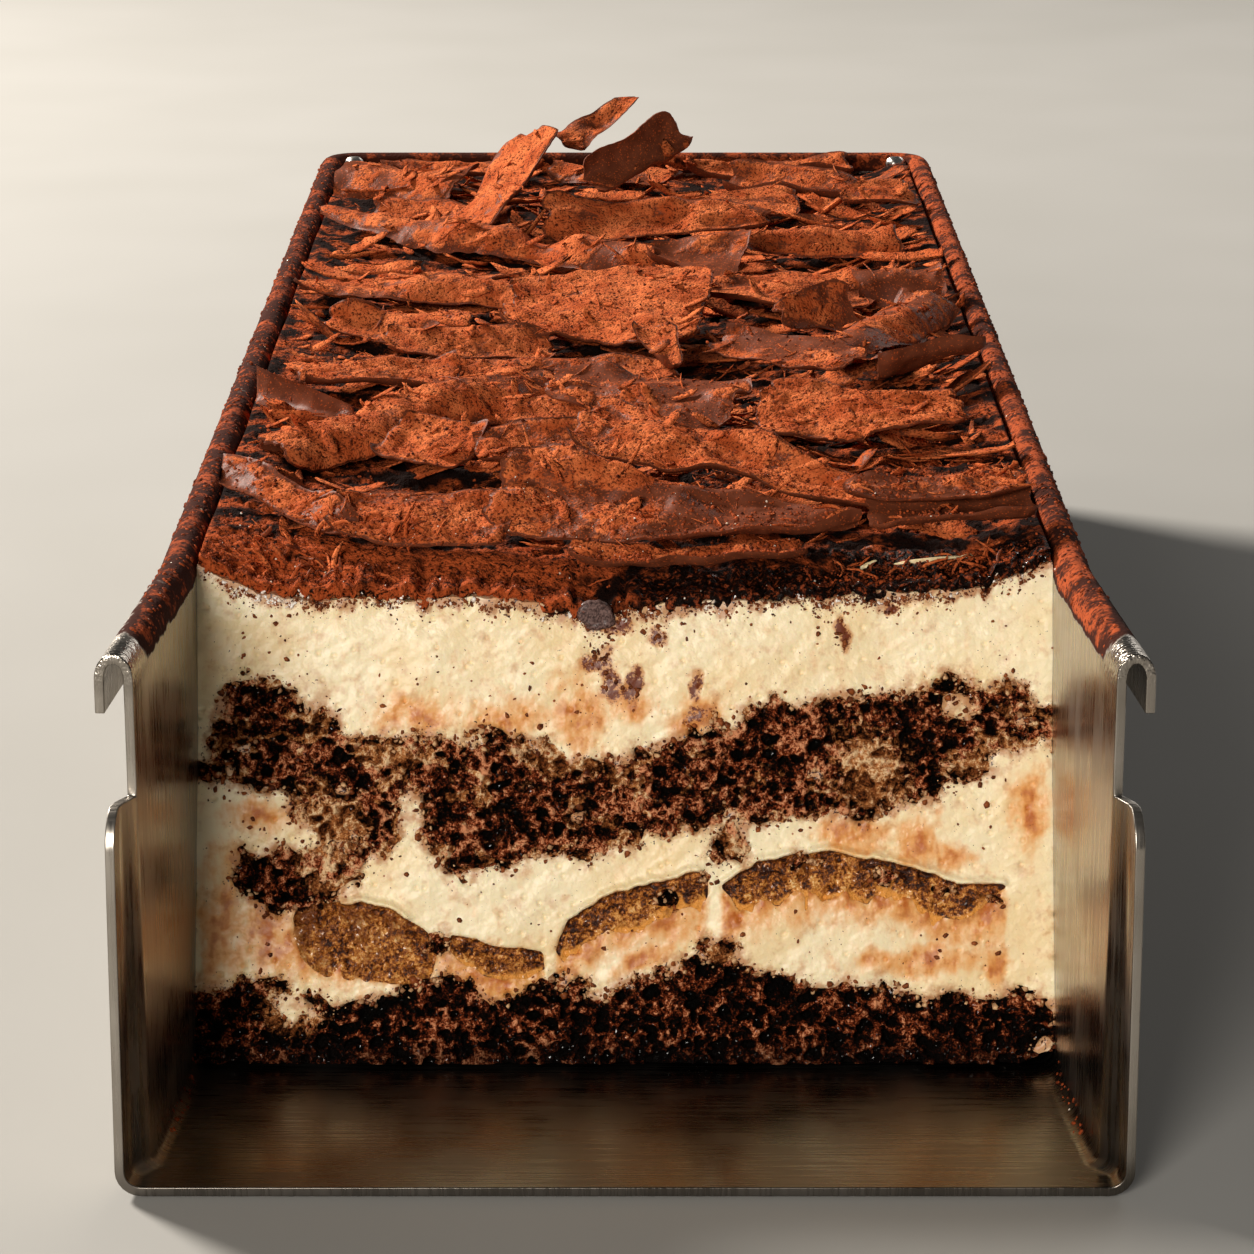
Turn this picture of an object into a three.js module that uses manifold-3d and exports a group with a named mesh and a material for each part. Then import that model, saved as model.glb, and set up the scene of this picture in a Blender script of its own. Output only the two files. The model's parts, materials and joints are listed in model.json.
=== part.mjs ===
// Tiramisu cake in its steel tin, cut open at the front end.
// Units are millimetres, +Z is up, the cut end looks along -Y.
// Every "back" distance is counted from the front edge of the tin's floor.
import * as THREE from 'three';
import { mergeVertices } from 'three/addons/utils/BufferGeometryUtils.js';
import Module from 'manifold-3d';

// ---------------------------------------------------------------- driving dimensions

// Tin: one folded sheet, open at the top and at the front end.
const SHEET = 1.2;                 // sheet thickness
const TIN_LENGTH = 340;            // front edge of the floor to the outer face of the back wall
const TIN_HEIGHT = 67;             // floor underside to the top of the rolled lip
const BODY_HALF_WIDTH = 56.5;      // outer face of a side wall, behind the sprung front
const MOUTH_HALF_WIDTH = 60;       // the same face at the open front end
const SPRUNG_LENGTH = 46;          // the side walls splay out over this length
const FLOOR_BEND = 3.2;            // outer radius of the fold between floor and wall
const CORNER_RADIUS = 4;           // outer radius of the two upright back corners
const LIP_OUT = 3.5;               // how far the rolled lip stands out from the wall
const LIP_RISE = 3.2;              // height of the lip's rounded top
const LIP_DROP = 7.4;              // top of the lip down to its cut edge

// Front ends of the side walls: the upper part stops short, the lower flap stands outside it.
const UPPER_WALL_BACK = 6.5;       // front edge of the upper wall
const NOTCH_HEIGHT = 49.3;         // top of the flap
const FLAP_ROUND = 5;              // the flap's rounded upper front corner
const FLAP_STEP_TOP = 1.6;         // outward step of the flap at the notch
const FLAP_STEP_FOOT = 2.0;        // and at the floor

// Food: fills the tin from wall to wall, its cut face leans back.
const GAP = 0.3;                   // clearance between neighbouring solids
const FACE_BACK = 38;              // foot of the cut face
const FACE_LEAN = 16;              // how much further back its top edge is
const FOOD_HALF_WIDTH = BODY_HALF_WIDTH - SHEET - GAP;
const FOOD_BACK = TIN_LENGTH - SHEET - GAP;
const FOOD_FLOOR = SHEET + GAP;
const FOOD_FOOT_ROUND = 3.6;       // clears the tin's fold
const WALL_REACH = FOOD_HALF_WIDTH + 1;

// Reach of the shapes that only cut others.
const PAST_BOTH_WALLS = 200;
const ABOVE_FOOD = TIN_HEIGHT + 40;
const AHEAD = 5;                   // how far a cutter starts ahead of the cut face

// Bright bead of solder in each back corner, where two walls meet: half sizes and place.
const BEAD = {
  half: [1.9, 1.9, 1.5],
  x: BODY_HALF_WIDTH - 3.4,
  back: TIN_LENGTH - 3.4,
  z: TIN_HEIGHT - 1.3,
};

const SHAVING = 1.3;               // thickness of the chocolate shavings

// Boundaries on the cut face, as [across, height], from the left wall to the right wall.
const COCOA_FOOT = [
  [-56, 65.6], [-51, 62.3], [-42, 60.2], [-30, 60.4], [-14, 60.2], [-4.5, 57.9], [4, 59.4],
  [22, 60.2], [38, 61.2], [47, 62.0], [51.5, 63.8], [56, 65.4],
];
const SPONGE_TOP = [
  [-56, 9.0], [-50, 11.4], [-45, 12.0], [-38, 9.2], [-33, 9.0], [-28, 11.6], [-22.5, 13.0],
  [-17, 9.4], [-12, 10.6], [-6, 11.3], [-1.5, 9.4], [5, 12.4], [9.5, 15.0], [12.5, 17.0],
  [16, 13.8], [23, 12.6], [33, 11.4], [41, 9.8], [47, 9.6], [51, 10.8], [56, 4.6],
];

// Lumps that run through the cream, as closed loops.
const MIDDLE_SPONGE = [
  [-53.2, 45.5], [-51, 48.6], [-46.6, 50.6], [-42.5, 49], [-39.5, 45.2], [-34.5, 42.8],
  [-27, 41.8], [-18, 42.6], [-11, 42], [-5, 39.4], [2, 40.4], [9, 43], [16, 45.4], [23, 47.6],
  [30.5, 48.8], [36, 47.6], [41.5, 49.6], [48, 50.2], [53, 48.2], [58, 45.6],
  [58, 43], [52, 41.8], [46, 39], [40.5, 36.2], [34, 35], [27, 33.2], [20, 32.2], [13, 32.4],
  [6, 31], [0, 28.8], [-6, 27.2], [-11, 29], [-16.5, 26.8], [-21.4, 24.9], [-25, 28.6],
  [-27.6, 32], [-31, 29.4], [-36, 30.4], [-41, 33], [-45.5, 36.4], [-51, 38.6], [-53.6, 41.6],
];
const DARK_LUMP = [
  [-51, 26.6], [-47.5, 28.3], [-43.5, 27.6], [-38, 29], [-34, 27.6], [-34.2, 25.4],
  [-38.5, 22.6], [-43.5, 21.6], [-47.4, 20.8], [-50.6, 23.8],
];
const SOAKED_LEFT = [
  [-42.6, 20.4], [-37, 21.8], [-31.5, 21.2], [-26.5, 18.8], [-24.4, 16], [-25.6, 12.9],
  [-30.6, 11.9], [-37.2, 12.2], [-42, 15.2],
];
const SOAKED_MIDDLE = [[-22.6, 17.4], [-17, 16.6], [-10.6, 15.2], [-10.4, 13.4], [-15.5, 11.9], [-21, 14.2]];
const SOAKED_CENTRE = [
  [-9, 15.4], [-7, 20], [-3, 22.2], [4, 24.2], [10.8, 25.4], [10.6, 22.8], [6, 17], [0, 14.4], [-6, 13.2],
];
const SOAKED_RIGHT = [
  [12.8, 24], [17.5, 26.8], [23, 27.9], [30, 27.8], [37, 26.2], [43.5, 24.4], [49.2, 24],
  [48.6, 20.6], [46.4, 16.4], [41, 13.8], [33.5, 15], [26.8, 15.8], [20.5, 18], [15, 20.6],
];
const CREAM_SPLIT = { height: 44, inner: -52.6 };   // where both creams meet beside the left wall

// Each shaving is a sheet: where its middle lies, its length and width, how it is turned, and
// how it is bent. turn is about Z, roll lifts the far edge, pitch lifts the right end, bend is
// the angle rolled up across the width, crown lifts the middle of the length, taper is the
// width left at the left and the right end, and belly is how much further the near edge reaches
// out at mid-length. Angles are in degrees.
const SHAVINGS = [
  { name: 'under_left', at: [-37, 147, 66.9],
    size: [24, 12], turn: 8, roll: 8, bend: 15, taper: [0.6, 1] },
  { name: 'mid_strip', at: [-9, 150, 67.2], size: [34, 9], turn: -2, roll: 14, bend: 20 },
  { name: 'right_flat', at: [35, 131, 67.2],
    size: [26, 9], turn: -3, roll: 14, bend: 20, taper: [1, 0.6] },
  { name: 'right_mid_flat', at: [26, 204, 68.2],
    size: [28, 17], turn: 8, roll: 10, bend: 20, taper: [0.7, 1] },
  { name: 'left_back_flat', at: [-34, 272, 67], size: [26, 13], turn: -14, roll: 12, bend: 25 },
  { name: 'back_centre', at: [18, 284, 67.4],
    size: [28, 12], turn: 7, roll: 14, bend: 30, taper: [0.6, 1] },
  { name: 'front_tongue', at: [8, 55.5, 64.8],
    size: [30, 9], turn: 3, roll: 14, bend: 25, taper: [0.4, 0.7] },
  { name: 'left_plate', at: [-27, 65, 67],
    size: [24, 14], turn: -5, roll: 16, bend: 20, taper: [0.7, 1] },
  { name: 'left_strip', at: [-46, 73, 68.4], size: [29, 5], turn: -46, roll: 35, pitch: -7, bend: 30 },
  { name: 'front_plate', at: [7, 66, 69.2],
    size: [48, 20], turn: -9, roll: 16, pitch: -3, bend: 22, taper: [0.8, 0.2], belly: 0.5 },
  { name: 'rear_plate', at: [15, 80, 70.8],
    size: [48, 17], turn: -28, roll: 18, pitch: -8, bend: 16, taper: [1, 0.25] },
  { name: 'stack_lower', at: [43, 64, 68.2],
    size: [22, 12], turn: 4, roll: 10, pitch: 3, bend: -25, taper: [0.6, 1] },
  { name: 'stack_upper', at: [41, 67, 70.6],
    size: [24, 11], turn: 8, roll: 12, bend: 20, taper: [0.5, 0.9] },
  { name: 'fold_plate_a', at: [-27, 101, 67.8], size: [14, 12], turn: -30, roll: 18, bend: 15 },
  { name: 'fold_plate_b', at: [-11, 98, 68],
    size: [20, 13], turn: 3, roll: 17, bend: -15, taper: [0.7, 1] },
  { name: 'left_curl', at: [-31, 118, 69.6],
    size: [50, 19], turn: 42, roll: 4, pitch: 1, bend: 205, crown: 1, taper: [0.9, 0.7] },
  { name: 'left_arc', at: [-48, 131, 67.6],
    size: [22, 5], turn: -42, roll: 70, pitch: -4, bend: 20, taper: [1, 0.6] },
  { name: 'edge_strip', at: [-16, 122, 67.6], size: [23, 8], turn: -4, roll: 20, bend: 20 },
  { name: 'ridge_middle', at: [3, 124, 69.6],
    size: [29, 17], turn: -21, roll: 12, bend: 28, taper: [0.6, 1] },
  { name: 'ridge_right', at: [34, 114, 69.2],
    size: [30, 20], turn: -2, roll: 12, bend: 16, taper: [0.8, 0.45] },
  { name: 'dark_shard', at: [46, 146, 70],
    size: [19, 12], turn: 26, roll: -32, pitch: 9, bend: -30, taper: [0.8, 0.4] },
  { name: 'bow_left', at: [25, 153, 69.4],
    size: [26, 11], turn: -40, roll: 24, bend: 25, taper: [0.6, 1] },
  { name: 'bow_right', at: [41, 170, 70],
    size: [38, 12], turn: 62, roll: 8, pitch: 1, bend: 150, taper: [0.7, 0.9] },
  { name: 'centre_tail', at: [6, 155, 69.4],
    size: [16, 7], turn: -78, roll: 5, pitch: -8, bend: 20, taper: [1, 0.4] },
  { name: 'centre_plate', at: [-3, 182, 70.6],
    size: [32, 38], turn: -8, roll: 9, pitch: 1, bend: 24, taper: [0.6, 1] },
  { name: 'ridge_left_c', at: [-24, 166, 67.8], size: [26, 9], turn: 6, roll: 24, bend: 25 },
  { name: 'ridge_left_b', at: [-36, 178, 68.2],
    size: [24, 12], turn: -14, roll: 24, bend: 30, taper: [0.5, 1] },
  { name: 'lean_plates', at: [30, 184, 69],
    size: [15, 9], turn: 38, roll: 48, bend: 15, taper: [0.5, 1] },
  { name: 'block_curl', at: [45, 207, 70.2], size: [14, 14], turn: 6, roll: 10, bend: 190 },
  { name: 'ridge_left_a', at: [-32, 205, 68.6],
    size: [44, 12], turn: -8, roll: 6, bend: 120, taper: [0.7, 0.9] },
  { name: 'back_dark', at: [12, 222, 70],
    size: [16, 18], turn: -16, roll: 14, bend: 20, taper: [0.4, 1] },
  { name: 'back_roll', at: [34, 246, 69.4],
    size: [27, 13], turn: 10, roll: 4, bend: 170, taper: [0.7, 1] },
  { name: 'long_curl', at: [-24, 249, 69.4],
    size: [72, 8], turn: -34, roll: 10, pitch: -1, bend: 160, crown: -1 },
  { name: 'back_ridge', at: [6, 260, 69],
    size: [40, 14], turn: 5, roll: 26, bend: 20, taper: [1, 0.5] },
  { name: 'back_left', at: [-42, 302, 69.2], size: [26, 16], turn: -28, roll: 14, bend: 110 },
  { name: 'upright_plate', at: [-22, 269, 73.6],
    size: [28, 21], turn: 60, roll: -22, pitch: 33, bend: 16, taper: [0.9, 0.7] },
  { name: 'upright_tip', at: [-5, 302, 79.2],
    size: [19, 8], turn: 38, roll: 26, pitch: 22, bend: 60, taper: [0.9, 0.35] },
  { name: 'upright_curl', at: [2, 296, 74.2],
    size: [22, 14], turn: 36, roll: 54, pitch: 20, bend: -95, taper: [0.6, 0.8] },
  { name: 'back_right', at: [31, 301, 66.8], size: [24, 14], turn: -16, roll: 14, bend: -50 },
  { name: 'far_left', at: [-31, 323, 66.4],
    size: [30, 13], turn: 12, roll: 10, bend: 24, taper: [0.8, 0.5] },
  { name: 'far_middle', at: [-2, 320, 66.6],
    size: [26, 11], turn: -20, roll: 8, bend: 130, taper: [0.7, 1] },
  { name: 'far_right', at: [28, 325, 66.2],
    size: [32, 12], turn: 6, roll: 10, bend: -22, taper: [0.5, 0.9] },
  { name: 'corner_flake', at: [46, 285, 68.6],
    size: [15, 11], turn: 24, roll: 18, bend: 20, taper: [0.5, 1] },
];

// ---------------------------------------------------------------- solids

const wasm = await Module();
wasm.setup();

// Turns every face of a closed mesh outwards.
function facingOut(geometry) {
  const index = geometry.index.array;
  const position = geometry.attributes.position;
  const corners = [new THREE.Vector3(), new THREE.Vector3(), new THREE.Vector3()];
  let volume = 0;
  for (let i = 0; i < index.length; i += 3) {
    corners.forEach((corner, k) => corner.fromBufferAttribute(position, index[i + k]));
    volume += corners[0].dot(corners[1].clone().cross(corners[2]));
  }
  if (volume < 0) {
    for (let i = 0; i < index.length; i += 3) {
      [index[i + 1], index[i + 2]] = [index[i + 2], index[i + 1]];
    }
  }
  return geometry;
}

function solidOf(geometry) {
  const bare = geometry.clone();
  bare.deleteAttribute('normal');
  bare.deleteAttribute('uv');
  const welded = facingOut(mergeVertices(bare, 1e-5));
  return new wasm.Manifold(new wasm.Mesh({
    numProp: 3,
    vertProperties: new Float32Array(welded.attributes.position.array),
    triVerts: new Uint32Array(welded.index.array),
  }));
}

function geometryOf(solid) {
  const mesh = solid.getMesh();
  const geometry = new THREE.BufferGeometry();
  geometry.setAttribute('position', new THREE.BufferAttribute(new Float32Array(mesh.vertProperties), 3));
  geometry.setIndex(new THREE.BufferAttribute(new Uint32Array(mesh.triVerts), 1));
  geometry.computeVertexNormals();
  return geometry;
}

function largestOf(solid) {
  const pieces = solid.decompose();
  return pieces.reduce((best, piece) => (piece.volume() > best.volume() ? piece : best));
}

// Extrudes a flat outline; "place" maps (first, second, depth) to a point of the part.
function prism(outline, depth, place) {
  const shape = new THREE.Shape(outline.map(([a, b]) => new THREE.Vector2(a, b)));
  const geometry = new THREE.ExtrudeGeometry(shape, { depth, bevelEnabled: false, steps: 1 });
  const position = geometry.attributes.position;
  for (let i = 0; i < position.count; i += 1) {
    const [x, y, z] = place(position.getX(i), position.getY(i), position.getZ(i));
    position.setXYZ(i, x, y, z);
  }
  return solidOf(geometry);
}

const upward = (x, y, depth) => [x, y, depth];            // an XY outline raised along Z
const sideways = (y, z, depth) => [depth - PAST_BOTH_WALLS / 2, y, z];   // a YZ outline along X
const lengthwise = (x, z, depth) => [x, depth, z];        // an XZ outline along Y
const faceBack = (z) => FACE_BACK + (FACE_LEAN * z) / TIN_HEIGHT;

// An XZ outline run along Y, from the leaning cut face or some way ahead of it, to beyond the
// back of the tin.
function layer(outline, ahead = 0) {
  return prism(outline, 1, (x, z, depth) => [x, depth > 0 ? TIN_LENGTH + 10 : faceBack(z) - ahead, z]);
}

// Small smooth unevenness between -1 and 1, the same on each run.
function uneven(a, b, seed) {
  const first = Math.sin(a * 1.7 + seed * 2.3 + Math.sin(b * 1.3 + seed));
  const second = Math.sin(b * 2.1 + seed * 1.1 + Math.sin(a * 0.9 + seed * 3.7));
  return (first + second) / 2;
}

// ---------------------------------------------------------------- tin

function wallHalfWidth(back) {
  const splay = Math.max(0, 1 - back / SPRUNG_LENGTH);
  return BODY_HALF_WIDTH + (MOUTH_HALF_WIDTH - BODY_HALF_WIDTH) * splay;
}

function flapStep(back, z) {
  if (z > NOTCH_HEIGHT + 0.5) return 0;
  const forward = THREE.MathUtils.smoothstep(UPPER_WALL_BACK - back, -0.5, 3.5);
  return forward * THREE.MathUtils.lerp(FLAP_STEP_FOOT, FLAP_STEP_TOP, Math.min(1, z / NOTCH_HEIGHT));
}

function arcPoints(centreX, centreY, radiusX, radiusY, from, to, steps) {
  const points = [];
  for (let i = 0; i <= steps; i += 1) {
    const angle = THREE.MathUtils.degToRad(from + ((to - from) * i) / steps);
    points.push([centreX + radiusX * Math.cos(angle), centreY + radiusY * Math.sin(angle)]);
  }
  return points;
}

// Closed section of wall and lip: first number outward from the wall's outer face, second up.
function wallSection() {
  const lipMiddle = (LIP_OUT - SHEET) / 2;
  const lipReach = (LIP_OUT + SHEET) / 2;
  const lipBase = TIN_HEIGHT - LIP_RISE;
  return [
    [-FLOOR_BEND - 0.2, 0],
    ...arcPoints(-FLOOR_BEND, FLOOR_BEND, FLOOR_BEND, FLOOR_BEND, -90, 0, 5),
    [0, NOTCH_HEIGHT],
    [0, NOTCH_HEIGHT + 1],
    ...arcPoints(lipMiddle, lipBase, lipReach - SHEET, LIP_RISE - SHEET, 180, 0, 6),
    [LIP_OUT - SHEET, TIN_HEIGHT - LIP_DROP],
    [LIP_OUT, TIN_HEIGHT - LIP_DROP],
    ...arcPoints(lipMiddle, lipBase, lipReach, LIP_RISE, 0, 180, 8),
    [-SHEET, NOTCH_HEIGHT + 1],
    [-SHEET, NOTCH_HEIGHT],
    ...arcPoints(-FLOOR_BEND, FLOOR_BEND, FLOOR_BEND - SHEET, FLOOR_BEND - SHEET, 0, -90, 5),
    [-FLOOR_BEND - 0.2, SHEET],
  ];
}

// The wall's route seen from above: up the left side, round both corners, down the right side.
function wallStations() {
  const sides = [0, 2, 3.5, 5, UPPER_WALL_BACK, 9, SPRUNG_LENGTH, TIN_LENGTH - CORNER_RADIUS];
  const centre = BODY_HALF_WIDTH - CORNER_RADIUS;
  const turns = arcPoints(0, 0, 1, 1, 15, 90, 5);
  const straight = sides.map((back) => (out, z) => [wallHalfWidth(back) + flapStep(back, z) + out, back]);
  const corner = turns.map(([side, rear]) => (out) => [
    centre + side * (CORNER_RADIUS + out),
    TIN_LENGTH - CORNER_RADIUS + rear * (CORNER_RADIUS + out),
  ]);
  const half = [...straight, ...corner];
  const mirrored = half.map((at) => (out, z) => {
    const [x, back] = at(out, z);
    return [-x, back];
  });
  return [...mirrored, ...half.reverse()];
}

function sweptWall() {
  const section = wallSection();
  const stations = wallStations();
  const vertices = [];
  stations.forEach((at) => section.forEach(([out, z]) => {
    const [x, y] = at(out, z);
    vertices.push(x, y, z);
  }));
  const faces = [];
  const around = section.length;
  for (let s = 0; s + 1 < stations.length; s += 1) {
    for (let k = 0; k < around; k += 1) {
      const here = s * around + k;
      const next = s * around + ((k + 1) % around);
      faces.push(here, next, next + around, here, next + around, here + around);
    }
  }
  const cap = THREE.ShapeUtils.triangulateShape(section.map(([a, b]) => new THREE.Vector2(a, b)), []);
  const last = (stations.length - 1) * around;
  cap.forEach(([a, b, c]) => {
    faces.push(c, b, a, last + a, last + b, last + c);
  });
  const geometry = new THREE.BufferGeometry();
  geometry.setAttribute('position', new THREE.BufferAttribute(new Float32Array(vertices), 3));
  geometry.setIndex(faces);
  return geometry;
}

function tinBody() {
  const wall = solidOf(sweptWall());
  const edge = FLOOR_BEND + 0.1;
  const rightEdge = [0, 2, 3.5, 5, UPPER_WALL_BACK, 9, SPRUNG_LENGTH].map(
    (back) => [wallHalfWidth(back) + flapStep(back, 0) - edge, back],
  );
  const rear = TIN_LENGTH - edge;
  const floorOutline = [
    ...rightEdge,
    [BODY_HALF_WIDTH - edge, rear],
    [-(BODY_HALF_WIDTH - edge), rear],
    ...rightEdge.reverse().map(([x, back]) => [-x, back]),
  ];
  const floor = prism(floorOutline, SHEET, upward);
  const notch = prism([
    [-1, NOTCH_HEIGHT - FLAP_ROUND],
    ...arcPoints(FLAP_ROUND, NOTCH_HEIGHT - FLAP_ROUND, FLAP_ROUND, FLAP_ROUND, 180, 90, 6),
    [UPPER_WALL_BACK, NOTCH_HEIGHT],
    [UPPER_WALL_BACK, ABOVE_FOOD],
    [-1, ABOVE_FOOD],
  ], PAST_BOTH_WALLS, sideways);
  return wall.add(floor).subtract(notch);
}

function cornerBead(side, grow = 0) {
  const bead = new THREE.SphereGeometry(1, 10, 6);
  bead.rotateX(Math.PI / 2);
  bead.scale(...BEAD.half.map((half) => half + grow));
  bead.translate(side * BEAD.x, BEAD.back, BEAD.z);
  return solidOf(bead);
}

// Clears the two beads.
const roundBeads = (food) => food.subtract(cornerBead(-1, GAP)).subtract(cornerBead(1, GAP));

// ---------------------------------------------------------------- food

// Space the food may fill: inside the tin, clear of its folds and corners.
function tinInside() {
  const foot = FOOD_FLOOR + FOOD_FOOT_ROUND;
  const footX = FOOD_HALF_WIDTH - FOOD_FOOT_ROUND;
  const rounded = (centre, from) =>
    arcPoints(centre, foot, FOOD_FOOT_ROUND, FOOD_FOOT_ROUND, from, from + 90, 4);
  const across = [
    ...rounded(-footX, 180),
    ...rounded(footX, 270),
    [FOOD_HALF_WIDTH, ABOVE_FOOD],
    [-FOOD_HALF_WIDTH, ABOVE_FOOD],
  ];
  const endwise = [
    [0, FOOD_FLOOR],
    ...rounded(FOOD_BACK - FOOD_FOOT_ROUND, 270),
    [FOOD_BACK, ABOVE_FOOD],
    [0, ABOVE_FOOD],
  ];
  const cornerX = FOOD_HALF_WIDTH - CORNER_RADIUS;
  const cornerY = FOOD_BACK - CORNER_RADIUS;
  const above = [
    [-FOOD_HALF_WIDTH, 0],
    [FOOD_HALF_WIDTH, 0],
    ...arcPoints(cornerX, cornerY, CORNER_RADIUS, CORNER_RADIUS, 0, 90, 4),
    ...arcPoints(-cornerX, cornerY, CORNER_RADIUS, CORNER_RADIUS, 90, 180, 4),
  ];
  return prism(across, TIN_LENGTH, lengthwise)
    .intersect(prism(endwise, PAST_BOTH_WALLS, sideways))
    .intersect(prism(above, ABOVE_FOOD, upward));
}

function smoothLine(points, closed, steps) {
  const curve = new THREE.CatmullRomCurve3(points.map(([x, z]) => new THREE.Vector3(x, 0, z)), closed);
  const line = curve.getPoints(steps).map((p) => [p.x, p.z]);
  return closed ? line.slice(0, -1) : line;
}

// Moves a closed loop out (or, with a negative distance, in) along its own normals.
function grown(loop, distance) {
  const turning = Math.sign(THREE.ShapeUtils.area(loop.map(([x, y]) => new THREE.Vector2(x, y))));
  return loop.map(([x, z], i) => {
    const [beforeX, beforeZ] = loop[(i + loop.length - 1) % loop.length];
    const [afterX, afterZ] = loop[(i + 1) % loop.length];
    const along = new THREE.Vector2(afterX - beforeX, afterZ - beforeZ).normalize();
    return [x + turning * along.y * distance, z - turning * along.x * distance];
  });
}

function lump(points) {
  return layer(smoothLine(points, true, points.length * 2));
}

// The tunnel that a lump needs in the cream around it.
function tunnel(points) {
  return layer(grown(smoothLine(points, true, points.length * 2), GAP), AHEAD);
}

function band(lower, upper, ahead = 0) {
  return layer([...lower, ...[...upper].reverse()], ahead);
}

// The dusted top banks up against the side walls, dips at the cut and sinks at the back wall.
function topHeight(x, back) {
  const bank = 2.6 * (x / FOOD_HALF_WIDTH) ** 4;
  const dip = 1.2 * Math.exp(-(((back - 55) / 16) ** 2)) * Math.cos((x / FOOD_HALF_WIDTH) * (Math.PI / 2));
  const sunk = THREE.MathUtils.smoothstep(back, 290, FOOD_BACK);
  return 64 + bank * (1 - 0.7 * sunk) - dip - 1.6 * sunk + 0.5 * uneven(x / 9, back / 13, 4);
}

// Heaped cocoa, down to a little under its foot line.
function cocoaHeap(footLine, raise = 0) {
  const across = 14;
  const along = 18;
  const foot = (x) => {
    const after = footLine.findIndex(([lineX]) => lineX >= x);
    const [x1, z1] = footLine[after];
    const [x0, z0] = footLine[after - 1];
    return THREE.MathUtils.lerp(z0, z1, (x - x0) / (x1 - x0));
  };
  const geometry = new THREE.BoxGeometry(2, 2, 2, across, along, 1);
  const position = geometry.attributes.position;
  for (let i = 0; i < position.count; i += 1) {
    const x = position.getX(i) * FOOD_HALF_WIDTH;
    const share = (position.getY(i) + 1) / 2;
    const back = THREE.MathUtils.lerp(faceBack(TIN_HEIGHT), FOOD_BACK, share ** 1.4);
    const z = position.getZ(i) > 0 ? Math.max(topHeight(x, back), foot(x) + 1) + raise : foot(x) - 2;
    const front = share === 0 ? faceBack(z) : back;
    position.setXYZ(i, x, front, z);
  }
  return solidOf(geometry);
}

// ---------------------------------------------------------------- chocolate shavings

function sheet(spec, seed, grow = 0) {
  const { size: [length, width], bend = 0, crown = 0, belly = 0 } = spec;
  const { at, turn = 0, roll = 0, pitch = 0, taper: [leftEnd, rightEnd] = [1, 1] } = spec;
  const alongCells = THREE.MathUtils.clamp(Math.round(length / 6), 3, 8);
  const acrossCells = THREE.MathUtils.clamp(Math.round(bend / 30), 2, 7);
  const bendAngle = THREE.MathUtils.degToRad(Math.abs(bend) < 2 ? 2 : bend);
  const radius = width / bendAngle;
  const half = SHAVING / 2 + grow;
  const geometry = new THREE.BoxGeometry(2, 2, 2, alongCells, acrossCells, 1);
  const position = geometry.attributes.position;
  for (let i = 0; i < position.count; i += 1) {
    const along = position.getX(i);
    const across = position.getY(i);
    const outline = THREE.MathUtils.lerp(leftEnd, rightEnd, (along + 1) / 2);
    const bulge = across < 0 ? belly * (1 - along * along) : 0;
    const share = outline * (1 + 0.08 * uneven(along * 3, across, seed)) + bulge;
    const angle = across * (bendAngle / 2) * share * (1 + (2 * grow) / width);
    const lift = Math.sign(position.getZ(i)) * half;
    const ragged = 1 + 0.04 * uneven(across * 3, along, seed + 5) + (2 * grow) / length;
    position.setXYZ(
      i,
      along * (length / 2) * ragged,
      (radius + lift) * Math.sin(angle),
      (radius + lift) * Math.cos(angle) - radius + crown * (1 - along * along),
    );
  }
  const rad = THREE.MathUtils.degToRad;
  const turned = new THREE.Euler(rad(roll), rad(-pitch), rad(turn), 'ZYX');
  geometry.applyMatrix4(new THREE.Matrix4().makeRotationFromEuler(turned));
  geometry.translate(...at);
  return solidOf(geometry);
}

// ---------------------------------------------------------------- materials

function finish(color, roughness, metalness = 0) {
  return new THREE.MeshStandardMaterial({ color, roughness, metalness });
}

const STEEL = finish(0xb4b0a8, 0.35, 1);
const DARK_SPONGE = finish(0x2c120a, 0.8);
const SOAKED = finish(0xb87a34, 0.6);
const CREAM = finish(0xe8d6a8, 0.45);
const COCOA = finish(0x8a4324, 0.95);
const CHOCOLATE = finish(0x7a3a22, 0.8);

// ---------------------------------------------------------------- assembly

const part = new THREE.Group();
const REACH = TIN_LENGTH + LIP_OUT;          // length over the lip at the back

function place(name, solid, material) {
  const mesh = new THREE.Mesh(geometryOf(solid), material);
  mesh.name = name;
  mesh.position.y = -REACH / 2;
  part.add(mesh);
}

place('tin_body', tinBody(), STEEL);
place('corner_bead_left', cornerBead(-1), STEEL);
place('corner_bead_right', cornerBead(1), STEEL);

const inside = tinInside();
const cocoaFoot = smoothLine(COCOA_FOOT, false, 30);
const spongeTop = smoothLine(SPONGE_TOP, false, 42);
const level = (line, shift) => line.map(([x, z]) => [x, z + shift]);
const floorLine = [[-WALL_REACH, 0], [WALL_REACH, 0]];

place('sponge_bottom', band(floorLine, level(spongeTop, -GAP / 2)).intersect(inside), DARK_SPONGE);

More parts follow.
